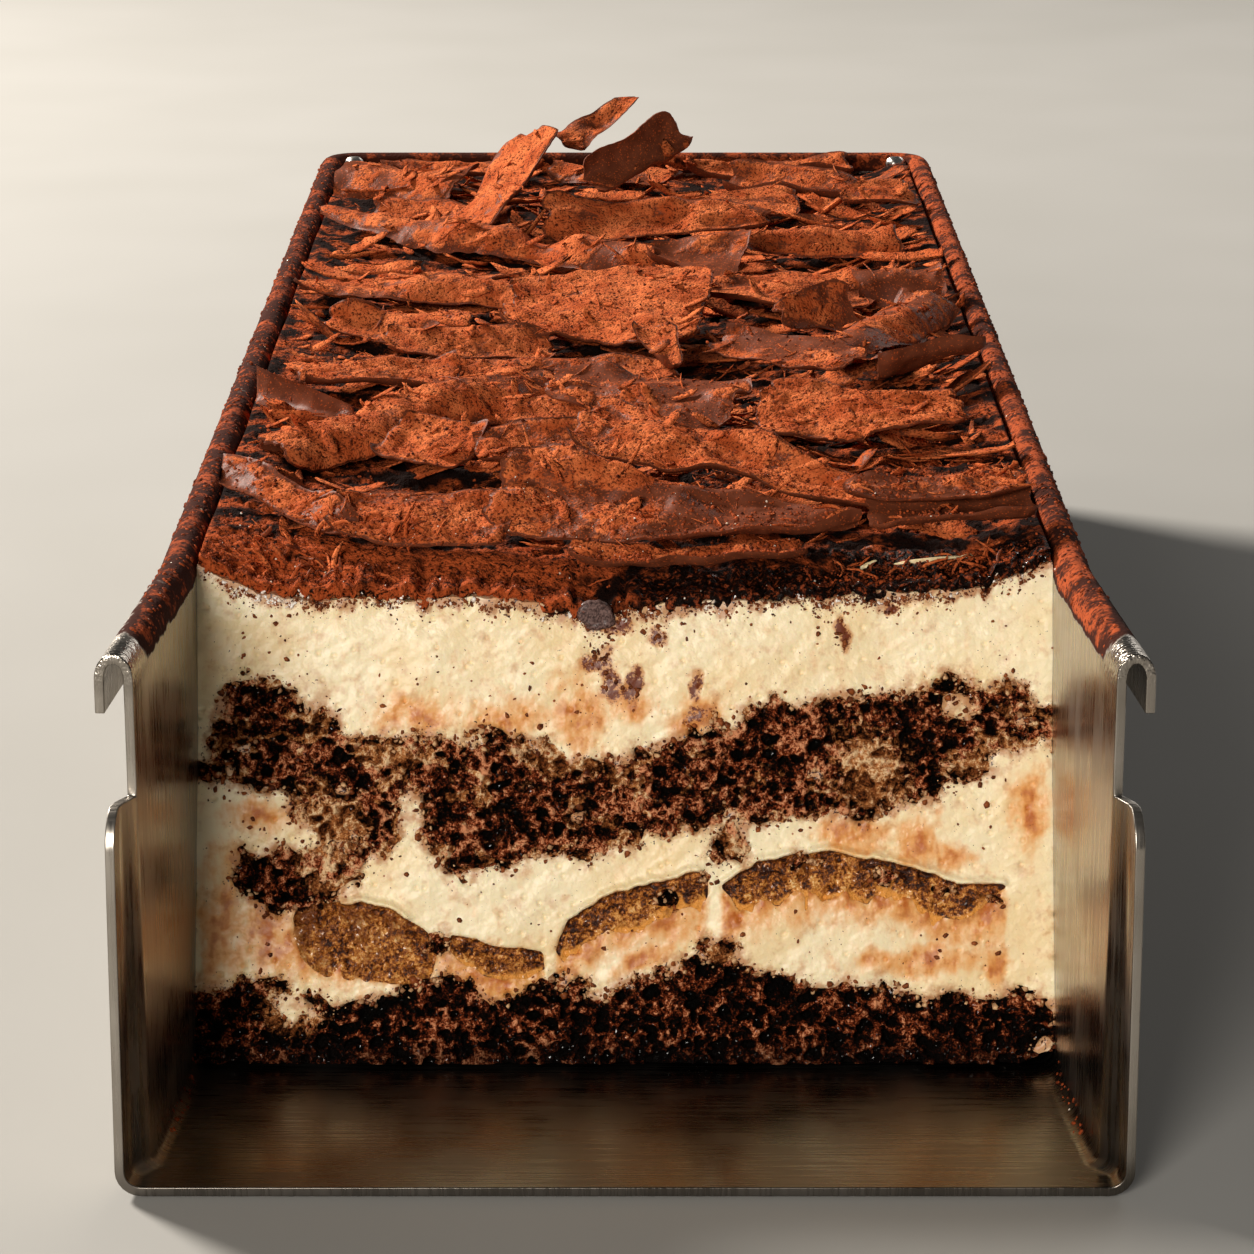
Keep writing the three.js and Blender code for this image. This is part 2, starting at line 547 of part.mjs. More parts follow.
const lumps = {
  sponge_lump: [DARK_LUMP, DARK_SPONGE],
  soaked_left: [SOAKED_LEFT, SOAKED],
  soaked_middle: [SOAKED_MIDDLE, SOAKED],
  soaked_centre: [SOAKED_CENTRE, SOAKED],
  soaked_right: [SOAKED_RIGHT, SOAKED],
};
const slit = prism([
  [-WALL_REACH - 1, CREAM_SPLIT.height - GAP / 2],
  [CREAM_SPLIT.inner, CREAM_SPLIT.height - GAP / 2],
  [CREAM_SPLIT.inner, CREAM_SPLIT.height + GAP / 2],
  [-WALL_REACH - 1, CREAM_SPLIT.height + GAP / 2],
], TIN_LENGTH, lengthwise);
const cream = band(level(spongeTop, GAP / 2), level(cocoaFoot, -GAP / 2))
  .intersect(inside)
  .subtract(tunnel(MIDDLE_SPONGE))
  .subtract(slit);
const [upperCream, lowerCream] = cream.decompose()
  .sort((a, b) => b.volume() - a.volume())
  .slice(0, 2)
  .sort((a, b) => b.boundingBox().max[2] - a.boundingBox().max[2]);
const holes = Object.values(lumps).map(([outline]) => tunnel(outline));
place('cream_lower', holes.reduce((left, hole) => left.subtract(hole), lowerCream), CREAM);
Object.entries(lumps).forEach(([name, [outline, material]]) => {
  place(name, lump(outline).intersect(inside), material);
});
place('sponge_middle', lump(MIDDLE_SPONGE).intersect(inside), DARK_SPONGE);
place('cream_top', roundBeads(upperCream), CREAM);
const belowCocoa = band(floorLine, level(cocoaFoot, GAP / 2), AHEAD);
place('cocoa_top', roundBeads(cocoaHeap(cocoaFoot).intersect(inside).subtract(belowCocoa)), COCOA);

// Each shaving gives way to what lies under it.
const laid = [cocoaHeap(cocoaFoot, GAP)];
SHAVINGS.forEach((spec, i) => {
  const trimmed = laid.reduce((left, below) => left.subtract(below), sheet(spec, i).intersect(inside));
  place(`shaving_${spec.name}`, largestOf(trimmed), CHOCOLATE);
  laid.push(sheet(spec, i, GAP));
});

export default part;
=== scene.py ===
"""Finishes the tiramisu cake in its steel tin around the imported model."""
import json
import math
from collections import namedtuple

import bmesh
import bpy
import numpy as np
from mathutils import Euler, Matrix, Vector
from mathutils.bvhtree import BVHTree

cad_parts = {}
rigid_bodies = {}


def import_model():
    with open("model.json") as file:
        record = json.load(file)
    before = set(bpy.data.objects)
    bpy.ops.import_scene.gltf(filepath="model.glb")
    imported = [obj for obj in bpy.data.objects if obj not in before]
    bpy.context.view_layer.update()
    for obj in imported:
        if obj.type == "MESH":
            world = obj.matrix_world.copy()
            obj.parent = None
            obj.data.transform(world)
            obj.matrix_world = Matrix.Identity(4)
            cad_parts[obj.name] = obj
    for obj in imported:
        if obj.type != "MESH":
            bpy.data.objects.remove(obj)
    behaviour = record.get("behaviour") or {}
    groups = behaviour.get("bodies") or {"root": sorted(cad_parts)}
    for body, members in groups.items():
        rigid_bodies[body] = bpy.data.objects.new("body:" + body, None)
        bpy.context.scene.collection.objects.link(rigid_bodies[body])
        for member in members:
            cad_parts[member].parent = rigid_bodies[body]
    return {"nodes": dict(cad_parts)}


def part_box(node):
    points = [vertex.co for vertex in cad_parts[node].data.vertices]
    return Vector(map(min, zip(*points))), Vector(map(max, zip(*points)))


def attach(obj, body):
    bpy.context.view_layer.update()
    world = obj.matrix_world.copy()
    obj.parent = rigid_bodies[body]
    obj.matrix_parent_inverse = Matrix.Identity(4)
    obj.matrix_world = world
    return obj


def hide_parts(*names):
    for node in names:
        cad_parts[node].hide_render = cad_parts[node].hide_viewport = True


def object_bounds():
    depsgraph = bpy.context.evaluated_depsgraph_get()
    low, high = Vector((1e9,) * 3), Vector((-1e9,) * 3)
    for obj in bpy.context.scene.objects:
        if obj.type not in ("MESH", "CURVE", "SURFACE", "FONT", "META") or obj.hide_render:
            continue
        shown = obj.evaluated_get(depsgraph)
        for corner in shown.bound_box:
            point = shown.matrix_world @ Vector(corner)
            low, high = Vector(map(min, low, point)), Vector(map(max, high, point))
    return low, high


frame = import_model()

CAD_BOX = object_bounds()

bl_info = {
    "name": "Tiramisu cake finish",
    "version": (1, 0, 0),
    "blender": (4, 5, 0),
    "location": "3D View > Sidebar > Cake",
    "description": "Makes the tin, the cut face, the dusted top and the chocolate shavings",
    "category": "Object",
}

MM = 0.001
FRONT_EDGE = CAD_BOX[0].y / MM      # y of the front edge of the tin's floor, in mm

# ---------------------------------------------------------------- measures, in millimetres
# Every "back" distance is counted from the front edge of the tin's floor.

SHEET = 1.2
TIN_LENGTH = 340.0
TIN_HEIGHT = 67.0
BODY_HALF_WIDTH = 56.5
MOUTH_HALF_WIDTH = 60.0
SPRUNG_LENGTH = 46.0
FLOOR_BEND = 3.2
CORNER_RADIUS = 4.0
LIP_OUT = 3.5
LIP_RISE = 3.2
LIP_DROP = 7.4
UPPER_WALL_BACK = 6.5
NOTCH_HEIGHT = 49.3
FLAP_ROUND = 5.0
FLAP_STEP_TOP = 1.6
FLAP_STEP_FOOT = 2.0
DENT = 0.12             # how far the long walls wave in, and how long a wave is
DENT_LENGTH = 31

FACE_BACK = 38.0
FACE_LEAN = 16.0
FOOD_HALF_WIDTH = 55.0
FOOD_FLOOR = 1.5
FOOD_BACK = 338.5
CREAM_BORDER = 44.0             # heights of the borders between like foods at the cut
RIGHT_CREAM_BORDER = 46.5
SPONGE_BORDER = 27.0
BOTTOM_BORDER = 20.0
SHAVING_LIFT = 0.4      # room under the shavings, which shows as a dark gap
SIDE_GAP = 0.2          # least room between a shaving and the tin's side and back walls
BACK_GAP = 0.3
BOX_GAP = 0.1           # least room between a loose bit and the model's box

# Foot of the cocoa along the cut, as (across, height).
COCOA_FOOT = (
    (-56, 65.6), (-51, 62.3), (-42, 60.2), (-30, 60.4), (-14, 60.2), (-4.5, 57.9), (4, 59.4),
    (22, 60.2), (38, 61.2), (47, 62.0), (51.5, 63.8), (56, 65.4),
)

DARK_SPONGE = ("sponge_bottom", "sponge_middle", "sponge_lump")
SOAKED_SPONGE = ("soaked_left", "soaked_middle", "soaked_centre", "soaked_right")
CREAM = ("cream_lower", "cream_top")
FOOD = DARK_SPONGE + SOAKED_SPONGE + CREAM + ("cocoa_top",)
LABEL = {name: index for index, name in enumerate(FOOD)}

# A patch of the cut face: its middle, its half sizes and how far it is turned, in degrees.
Patch = namedtuple("Patch", "x z half_x half_z turn", defaults=(0.0,))

CREAM_IN_SPONGE = (
    Patch(43.5, 46.6, 3.6, 1.5, -12), Patch(51.2, 45.8, 1.6, 1.1), Patch(-27.8, 33.6, 1.7, 3.4, 8),
    Patch(-42.8, 8.5, 2.8, 2.1), Patch(54.1, 3.6, 1.0, 1.6), Patch(35.5, 41.5, 1.4, 0.8, 30),
    Patch(13.5, 33.6, 1.6, 0.9), Patch(-13.0, 35.8, 1.5, 0.8, 20), Patch(-49.5, 41.2, 1.4, 0.9),
    Patch(25.0, 38.2, 1.2, 0.7, -20), Patch(-6.0, 33.0, 1.3, 0.7), Patch(-36.4, 36.4, 1.3, 0.8, 35),
)
SPONGE_IN_CREAM = (
    Patch(-38.4, 31.6, 3.6, 1.9, -35), Patch(-42.0, 34.2, 2.2, 1.1, 20), Patch(13.9, 29.5, 2.3, 2.2),
    Patch(-53.4, 38.6, 1.3, 2.0), Patch(-34.6, 28.2, 2.0, 1.2), Patch(5.5, 22.6, 2.0, 1.3, 15),
    Patch(10.1, 25.2, 1.1, 0.8), Patch(-24.6, 16.6, 1.9, 1.3), Patch(47.6, 22.6, 1.6, 0.7, -15),
    Patch(24.2, 26.9, 3.0, 0.7, 10), Patch(33.6, 25.9, 2.4, 0.7, -12), Patch(41.0, 24.0, 2.6, 0.8, -14),
)
TAN_CRUMB = (
    Patch(-42.6, 50.1, 4.6, 1.5, 5), Patch(-31.6, 40.9, 4.6, 1.7, -8), Patch(-8.5, 40.3, 6.8, 2.4, -12),
    Patch(31.8, 38.6, 4.6, 6.2, 20), Patch(-38.4, 31.8, 5.4, 4.4, -35), Patch(23.0, 31.8, 3.4, 2.0),
    Patch(13.9, 29.5, 1.7, 1.6), Patch(-38.0, 24.4, 4.0, 1.6), Patch(44.5, 39.4, 3.0, 1.6),
    Patch(-43.6, 8.2, 4.2, 3.4), Patch(12.8, 15.4, 3.0, 1.6), Patch(48.5, 49.4, 3.2, 1.0),
)
# Coffee stains on the cream; the patches low at the far left, by the left wall, are painted shade.
GOLD_STAIN_AND_SHADE = (
    Patch(-5.8, 45.2, 3.6, 6.2, 4), Patch(0.9, 46.9, 3.2, 2.6), Patch(-16.0, 45.4, 7.5, 2.6),
    Patch(-27.5, 46.0, 5.0, 2.6), Patch(9.3, 45.4, 4.0, 2.2, 20), Patch(37.7, 29.8, 2.6, 4.2, -12),
    Patch(29.9, 30.9, 5.8, 2.6, 12), Patch(47.8, 14.4, 1.9, 2.8, 15), Patch(52.5, 34.0, 2.6, 5.0),
    Patch(-46.0, 18.0, 5.0, 6.0), Patch(-52.0, 20.0, 2.6, 9.0), Patch(-48.0, 33.0, 5.0, 2.2),
    Patch(-33.0, 15.0, 7.0, 4.0), Patch(-20.0, 14.0, 6.0, 2.4), Patch(42.0, 27.6, 4.0, 1.5, -20),
    Patch(2.0, 15.0, 5.0, 1.6, 20), Patch(38.0, 14.5, 9.0, 2.0),
)
BROWN_SMEAR = (
    Patch(-3.2, 52.8, 2.3, 2.0, 20), Patch(-2.0, 50.0, 1.8, 2.6, 25), Patch(3.9, 56.1, 2.0, 1.3),
    Patch(-1.3, 56.6, 2.2, 1.5), Patch(1.3, 49.6, 1.5, 2.8, -10), Patch(28.3, 56.6, 1.1, 2.4),
    Patch(9.5, 49.5, 1.0, 3.4, 5), Patch(9.4, 45.6, 2.2, 1.2, 25), Patch(35.0, 59.2, 0.8, 0.8),
)

# Crumbs and specks lie in clusters on the cut face: middle, spread and how many.
Cluster = namedtuple("Cluster", "x z spread_x spread_z count")
CRUMB_CLUSTERS = (
    Cluster(-3.2, 53.6, 1.3, 1.1, 46), Cluster(3.9, 56.2, 1.4, 0.8, 30), Cluster(-1.3, 56.8, 1.2, 0.9, 26),
    Cluster(-1.6, 50.4, 0.9, 1.6, 22), Cluster(1.4, 49.6, 0.7, 1.5, 12), Cluster(28.3, 57.2, 0.6, 1.3, 14),
    Cluster(28.4, 54.8, 0.5, 0.4, 12), Cluster(35.2, 58.9, 0.5, 0.4, 8), Cluster(-53.6, 39.0, 0.8, 1.6, 20),
    Cluster(-45.0, 54.0, 5.0, 3.0, 26), Cluster(-26.0, 50.0, 9.0, 4.0, 34),
    Cluster(-8.0, 47.0, 7.0, 5.0, 60), Cluster(14.0, 52.0, 9.0, 4.0, 22),
    Cluster(-44.0, 31.0, 6.0, 3.0, 40), Cluster(-46.0, 14.0, 4.0, 3.0, 26),
    Cluster(20.0, 30.0, 5.0, 2.0, 18), Cluster(46.0, 34.0, 5.0, 4.0, 14), Cluster(0.0, 20.0, 9.0, 4.0, 30),
    Cluster(34.0, 14.0, 12.0, 2.0, 40), Cluster(-50.0, 44.0, 2.5, 5.0, 26),
    Cluster(-16.0, 22.0, 8.0, 3.0, 16), Cluster(50.0, 54.0, 3.0, 5.0, 10),
    Cluster(0.0, 40.0, 40.0, 18.0, 60),
)

# Shavings: the middle (across, back, height), the size (length, width), how much cocoa lies on it (0
# bare, 1 thick), then how far it is turned, rolled and pitched, and bent across its width, in degrees.
# Crown lifts its middle, taper narrows its left and right ends, belly widens its near edge, thick is
# its thickness, and barer is how much barer its right end is than its left one.
Sheet = namedtuple(
    "Sheet",
    "name at size dust turn roll pitch bend crown taper belly thick barer",
    defaults=(0.8, 0, 0, 0, 0, 0, (1, 1), 0, 0.8, 0),
)
SHEETS = (
    Sheet("under_left", (-37, 147, 66.9), (24, 12), turn=8, roll=8, bend=15, taper=(0.6, 1)),
    Sheet("mid_strip", (-9, 150, 67.2), (34, 9), turn=-2, roll=14, bend=20),
    Sheet("right_flat", (35, 131, 67.2), (26, 9), turn=-3, roll=14, bend=20, taper=(1, 0.6)),
    Sheet("right_mid_flat", (26, 204, 68.2), (28, 17), turn=8, roll=10, bend=20, taper=(0.7, 1)),
    Sheet("left_back_flat", (-34, 272, 67), (26, 13), turn=-14, roll=12, bend=25),
    Sheet("back_centre", (18, 284, 67.4), (28, 12), turn=7, roll=14, bend=30, taper=(0.6, 1)),
    Sheet("front_tongue", (8, 55.5, 64.8), (30, 9), 1.0, turn=3, roll=14, bend=25, taper=(0.4, 0.7)),
    Sheet("left_plate", (-27, 65, 67), (24, 14), 0.9, turn=-5, roll=16, bend=20, taper=(0.7, 1)),
    Sheet("left_strip", (-46, 73, 68.4), (29, 5), 0.6, turn=-46, roll=35, pitch=-7, bend=30),
    Sheet("front_plate", (7, 66, 69.2), (48, 20), 0.75, turn=-9, roll=16, pitch=-3, bend=22,
          taper=(0.8, 0.2), belly=0.5, thick=1.2, barer=0.7),
    Sheet("rear_plate", (15, 80, 70.8), (48, 17), 0.95, turn=-28, roll=18, pitch=-8, bend=16,
          taper=(1, 0.25), thick=1.0),
    Sheet("stack_lower", (43, 64, 68.2), (22, 12), 0.1, turn=4, roll=10, pitch=3, bend=-25,
          taper=(0.6, 1)),
    Sheet("stack_upper", (41, 67, 70.6), (24, 11), 0.5, turn=8, roll=12, bend=20, taper=(0.5, 0.9)),
    Sheet("fold_plate_a", (-27, 101, 67.8), (14, 12), 0.9, turn=-30, roll=18, bend=15),
    Sheet("fold_plate_b", (-11, 98, 68), (20, 13), 0.9, turn=3, roll=17, bend=-15, taper=(0.7, 1)),
    Sheet("left_curl", (-31, 118, 69.6), (50, 19), 0.8, turn=42, roll=4, pitch=1, bend=205, crown=1,
          taper=(0.9, 0.7)),
    Sheet("left_arc", (-48, 131, 67.6), (22, 5), 0.3, turn=-42, roll=70, pitch=-4, bend=20,
          taper=(1, 0.6)),
    Sheet("edge_strip", (-16, 122, 67.6), (23, 8), 0.7, turn=-4, roll=20, bend=20),
    Sheet("ridge_middle", (3, 124, 69.6), (29, 17), 0.35, turn=-21, roll=12, bend=28, taper=(0.6, 1)),
    Sheet("ridge_right", (34, 114, 69.2), (30, 20), 0.95, turn=-2, roll=12, bend=16, taper=(0.8, 0.45)),
    Sheet("dark_shard", (46, 146, 70), (19, 12), 0.15, turn=26, roll=-32, pitch=9, bend=-30,
          taper=(0.8, 0.4)),
    Sheet("bow_left", (25, 153, 69.4), (26, 11), 0.4, turn=-40, roll=24, bend=25, taper=(0.6, 1)),
    Sheet("bow_right", (41, 170, 70), (38, 12), 0.45, turn=62, roll=8, pitch=1, bend=150,
          taper=(0.7, 0.9)),
    Sheet("centre_tail", (6, 155, 69.4), (16, 7), 0.9, turn=-78, roll=5, pitch=-8, bend=20,
          taper=(1, 0.4)),
    Sheet("centre_plate", (-3, 182, 70.6), (32, 38), 1.0, turn=-8, roll=9, pitch=1, bend=24,
          taper=(0.6, 1)),
    Sheet("ridge_left_c", (-24, 166, 67.8), (26, 9), turn=6, roll=24, bend=25),
    Sheet("ridge_left_b", (-36, 178, 68.2), (24, 12), turn=-14, roll=24, bend=30, taper=(0.5, 1)),
    Sheet("lean_plates", (30, 184, 69), (15, 9), 0.5, turn=38, roll=48, bend=15, taper=(0.5, 1)),
    Sheet("block_curl", (45, 207, 70.2), (14, 14), 0.3, turn=6, roll=10, bend=190),
    Sheet("ridge_left_a", (-32, 205, 68.6), (44, 12), turn=-8, roll=6, bend=120, taper=(0.7, 0.9)),
    Sheet("back_dark", (12, 222, 70), (16, 18), 0.35, turn=-16, roll=14, bend=20, taper=(0.4, 1)),
    Sheet("back_roll", (34, 246, 69.4), (27, 13), turn=10, roll=4, bend=170, taper=(0.7, 1)),
    Sheet("long_curl", (-24, 249, 69.4), (72, 8), 0.6, turn=-34, roll=10, pitch=-1, bend=160, crown=-1),
    Sheet("back_ridge", (6, 260, 69), (40, 14), turn=5, roll=26, bend=20, taper=(1, 0.5)),
    Sheet("back_left", (-42, 302, 69.2), (26, 16), 0.5, turn=-28, roll=14, bend=110),
    Sheet("upright_plate", (-22, 269, 73.6), (28, 21), 0.95, turn=60, roll=-22, pitch=33, bend=16,
          taper=(0.9, 0.7)),
    Sheet("upright_tip", (-5, 302, 79.2), (19, 8), 0.7, turn=38, roll=26, pitch=22, bend=60,
          taper=(0.9, 0.35)),
    Sheet("upright_curl", (2, 296, 74.2), (22, 14), 0.2, turn=36, roll=54, pitch=20, bend=-95,
          taper=(0.6, 0.8)),
    Sheet("back_right", (31, 301, 66.8), (24, 14), 0.6, turn=-16, roll=14, bend=-50),
    Sheet("far_left", (-31, 323, 66.4), (30, 13), turn=12, roll=10, bend=24, taper=(0.8, 0.5)),
    Sheet("far_middle", (-2, 320, 66.6), (26, 11), turn=-20, roll=8, bend=130, taper=(0.7, 1)),
    Sheet("far_right", (28, 325, 66.2), (32, 12), turn=6, roll=10, bend=-22, taper=(0.5, 0.9)),
    Sheet("corner_flake", (46, 285, 68.6), (15, 11), turn=24, roll=18, bend=20, taper=(0.5, 1)),
)

# Loose bits. The area holds the least and most across, to both sides, the nearest and farthest back,
# and how fast the bits thin out. The size is in half sizes, and least is the smallest bit's share of
# it. Tilt and swing are in degrees. Sit says how high a bit lies, in its own half thickness, and above
# adds to that. Dust is the cocoa on it, lumpy its unevenness, and a low gather spreads the bits evenly.
Kind = namedtuple(
    "Kind",
    "name shape surface look slot seed count area size least tilt sit swing above dust lumpy gather",
    defaults=(180, 0, 0, 0, -9),
)
SCATTERED = (
    Kind("chocolate_slivers", "sliver", "bed", "chocolate", "chocolate", 300, 620, (0, 52, 66, 332, 0.9),
         (7.5, 2.3, 0.36), 0.3, 20, 2.4, swing=30, dust=1.2, lumpy=2, gather=-0.1),
    Kind("chocolate_flakes", "flake", "top", "chocolate", "chocolate", 301, 1800, (0, 52, 62, 334, 1.0),
         (2.6, 0.8, 0.22), 0.2, 30, 0.9, dust=1.5, lumpy=2, gather=0.35),
    Kind("chocolate_threads", "thread", "top", "chocolate", "chocolate", 302, 560, (0, 52, 56, 320, 1.4),
         (4.2, 0.24, 0.24), 0.3, 16, 0.8, dust=1.2, gather=0.0),
    Kind("chocolate_strands", "strand", "top", "chocolate", "chocolate", 307, 90, (26, 50, 54, 64, 1.0),
         (3.0, 0.4, 0.4), 0.4, 50, 1.6, swing=70, dust=0.9, gather=0.2),
    Kind("cocoa_grains", "pebble", "top", "powder", "cocoa", 303, 9500, (0, 54, 53, 190, 2.2),
         (0.36, 0.3, 0.26), 0.3, 80, 0.3, lumpy=2),
    Kind("sugar_specks", "pebble", "top", "sugar", "cocoa", 304, 170, (0, 54, 50, 74, 1.4),
         (0.2, 0.17, 0.15), 0.4, 80, 0.5, lumpy=2),
    Kind("rim_cocoa", "pebble", "rim", "powder", "cocoa", 305, 7600, (55.9, 59.6, 15, 336, 1.0),
         (0.46, 0.38, 0.3), 0.35, 80, 0.1, above=0.55, lumpy=2, gather=0.1),
    Kind("rim_sugar", "pebble", "rim", "sugar", "cocoa", 306, 150, (55.9, 59.6, 15, 336, 1.0),
         (0.24, 0.2, 0.18), 0.35, 80, 0.1, above=0.55, lumpy=2, gather=0.1),
)
DROP_HEIGHT = 0.12      # in metres, above everything on the cake

# Streaks of cream laid in the cocoa: (across, back), half sizes and turn in degrees.
CREAM_STREAKS = (
    ((39.5, 58.6), (4.4, 0.55, 0.35), 4),
    ((44.2, 59.2), (1.6, 0.4, 0.3), 8),
    ((31.6, 58.2), (1.5, 0.5, 0.3), 22),
)

# How many crumbs and sugar grains are tried at the cocoa's foot, and the crumbs at the sponge's borders.
FOOT_CRUMBS = 2600
FOOT_SUGAR = 260
LEFT_SUGAR = 90
BORDER_TRIES = 30000
MOST_DARK_CRUMBS = 3600
MOST_CREAM_CRUMBS = 2600

# Lights: place and aim in metres, width, power and tint.
Light = namedtuple("Light", "name place aim width power tint")
LIGHTS = (
    Light("key", (-0.98, 0.82, 0.87), (0, 0, 0.05), 0.34, 48, (1.0, 0.94, 0.86)),
    Light("front", (-0.34, -1.08, 0.38), (0, -0.12, 0.03), 0.4, 9.4, (1.0, 0.95, 0.88)),
    Light("rear", (0.5, 0.8, 0.5), (0, 0.1, 0.05), 0.5, 1.6, (1.0, 0.97, 0.93)),
)

# ---------------------------------------------------------------- unevenness


def lattice(i, j, seed):
    """A number between 0 and 1 for each whole pair (i, j), the same on each run."""
    mixed = (i * 374761393 + j * 668265263 + seed * 974634777) & 0xFFFFFFFF
    mixed = ((mixed ^ (mixed >> 13)) * 1274126177) & 0xFFFFFFFF
    mixed = mixed ^ (mixed >> 16)
    return (mixed & 0xFFFFFF) / 0xFFFFFF


def noise(u, v, seed):
    """Smooth unevenness between -1 and 1 with bumps about one unit apart."""
    i = np.floor(u).astype(np.int64)
    j = np.floor(v).astype(np.int64)
    a = u - i
    b = v - j
    a = a * a * (3 - 2 * a)
    b = b * b * (3 - 2 * b)
    near = lattice(i, j, seed) * (1 - a) + lattice(i + 1, j, seed) * a
    far = lattice(i, j + 1, seed) * (1 - a) + lattice(i + 1, j + 1, seed) * a
    return 2 * (near * (1 - b) + far * b) - 1


def rough(u, v, seed, octaves=3):
    """Noise with finer noise on it; each octave is turned so that no grid shows."""
    total = 0.0
    reach = 0.0
    share = 1.0
    for octave in range(octaves):
        total = total + share * noise(u, v, seed + octave)
        reach += share
        share *= 0.5
        u, v = 1.6 * u + 1.2 * v, 1.6 * v - 1.2 * u
    return total / reach


def cells(u, v, seed):
    """Distance to the nearest of scattered points, and that point's tag from 0 to 1."""
    i = np.floor(u).astype(np.int64)
    j = np.floor(v).astype(np.int64)
    far_off = 9.0
    best = np.full(np.shape(u), far_off)
    tag = np.zeros(np.shape(u))
    for step_i in (-1, 0, 1):
        for step_j in (-1, 0, 1):
            ci = i + step_i
            cj = j + step_j
            gap = np.hypot(ci + lattice(ci, cj, seed) - u, cj + lattice(ci, cj, seed + 7) - v)
            tag = np.where(gap < best, lattice(ci, cj, seed + 13), tag)
            best = np.minimum(best, gap)
    return best, tag


def hollows(u, v, seed, rim, floor, share=1.1):
    """Round hollows between a rim and a floor radius, 1 at the floor, at a share of the points."""
    gap, tag = cells(u, v, seed)
    return smoothstep(-gap, -rim, -floor) * (tag < share)


def smoothstep(value, low, high):
    """Rises smoothly from 0 at low to 1 at high, or falls where low is the greater."""
    share = np.clip((value - low) / (high - low), 0, 1)
    return share * share * (3 - 2 * share)


def uneven(a, b, seed):
    """Slow waves between -1 and 1."""
    first = np.sin(a * 1.7 + seed * 2.3 + np.sin(b * 1.3 + seed))
    second = np.sin(b * 2.1 + seed * 1.1 + np.sin(a * 0.9 + seed * 3.7))
    return (first + second) / 2


def blurred(mask, passes):
    """Softens a grid of 0 to 1 values, a cell further with each pass."""
    soft = mask.astype(float)
    for _ in range(passes):
        padded = np.pad(soft, 1, mode="edge")
        soft = (padded[:-2, 1:-1] + padded[2:, 1:-1] + padded[1:-1, :-2] + padded[1:-1, 2:]
                + 2 * padded[1:-1, 1:-1]) / 6
    return soft


def covered(patches, x, z, seed, core=0.45, fade=1.25):
    """How much each point lies in any of the patches, with uneven edges."""
    wander_x = x + 1.5 * rough(x / 2.4, z / 2.4, seed)
    wander_z = z + 1.5 * rough(x / 2.4 + 40, z / 2.4, seed + 3)
    most = np.zeros(np.shape(x))
    for patch in patches:
        turn = math.radians(patch.turn)
        dx = wander_x - patch.x
        dz = wander_z - patch.z
        along = (dx * math.cos(turn) + dz * math.sin(turn)) / patch.half_x
        across = (dz * math.cos(turn) - dx * math.sin(turn)) / patch.half_z
        most = np.maximum(most, 1 - smoothstep(np.hypot(along, across), core, fade))
    return most


# ---------------------------------------------------------------- meshes


def to_frame(x, back, z):
    """Points in the model's frame, in metres."""
    return np.stack([x * MM, (back + FRONT_EDGE) * MM, z * MM], axis=-1)


def mesh_points(mesh):
    points = np.zeros(len(mesh.vertices) * 3)
    mesh.vertices.foreach_get("co", points)
    return points.reshape(-1, 3)


def set_points(mesh, points):
    mesh.vertices.foreach_set("co", np.ascontiguousarray(points, dtype=np.float32).ravel())
    mesh.update()


def add_value(mesh, name, values):
    """Stores one number on each vertex for the material to read."""
    layer = mesh.attributes.new(name, "FLOAT", "POINT")
    layer.data.foreach_set("value", np.asarray(values, dtype=np.float32).ravel())


def mesh_from(bm, name):
    """Ends the work on a bmesh and keeps it as a mesh."""
    mesh = bpy.data.meshes.new(name)
    bm.to_mesh(mesh)
    bm.free()
    return mesh


def place_corners(bm, points):
    for vert, point in zip(bm.verts, points):
        vert.co = point


def ball(subdivisions):
    """A round blank of radius 1 to be shaped."""
    bm = bmesh.new()
    bmesh.ops.create_icosphere(bm, subdivisions=subdivisions, radius=1.0)
    return bm


def pulled_corners(pulled):
    """The new corners among what an extrusion made."""
    return [part for part in pulled["geom"] if isinstance(part, bmesh.types.BMVert)]


def store_values(bm, values):
    """Gives each corner its numbers for the material to read."""
    layers = {name: bm.verts.layers.float.new(name) for name in values}
    for name, layer in layers.items():
        for vert, value in zip(bm.verts, values[name].ravel()):
            vert[layer] = value


def closed_off(bm, name, normal):
    """Fills a skin's open side, which faces along the normal, and makes it a mesh."""
    open_edges = [edge for edge in bm.edges if edge.is_boundary]
    bmesh.ops.triangle_fill(bm, edges=open_edges, normal=normal)
    bmesh.ops.recalc_face_normals(bm, faces=bm.faces[:])
    return mesh_from(bm, name)


def closed_sheet(name, columns, rows):
    """A flat sheet with a top and an underside: x and y from -1 to 1, z is -1 or 1."""
    bm = bmesh.new()
    bmesh.ops.create_grid(bm, x_segments=columns, y_segments=rows, size=1)
    for vert in bm.verts:
        vert.co.z = -1
    raised = bmesh.ops.extrude_face_region(bm, geom=bm.faces[:], use_keep_orig=True)
    for vert in pulled_corners(raised):
        vert.co.z = 1
    bmesh.ops.recalc_face_normals(bm, faces=bm.faces[:])
    return mesh_from(bm, name)


def finish_piece(name, mesh, material, replaced=()):
    """Makes the object, dresses it and ties it to the model."""
    piece = bpy.data.objects.new(name, mesh)
    bpy.context.scene.collection.objects.link(piece)
    mesh.materials.clear()
    mesh.materials.append(material)
    mesh.shade_smooth()
    if replaced:
        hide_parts(*replaced)
    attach(piece, "root")
    return piece


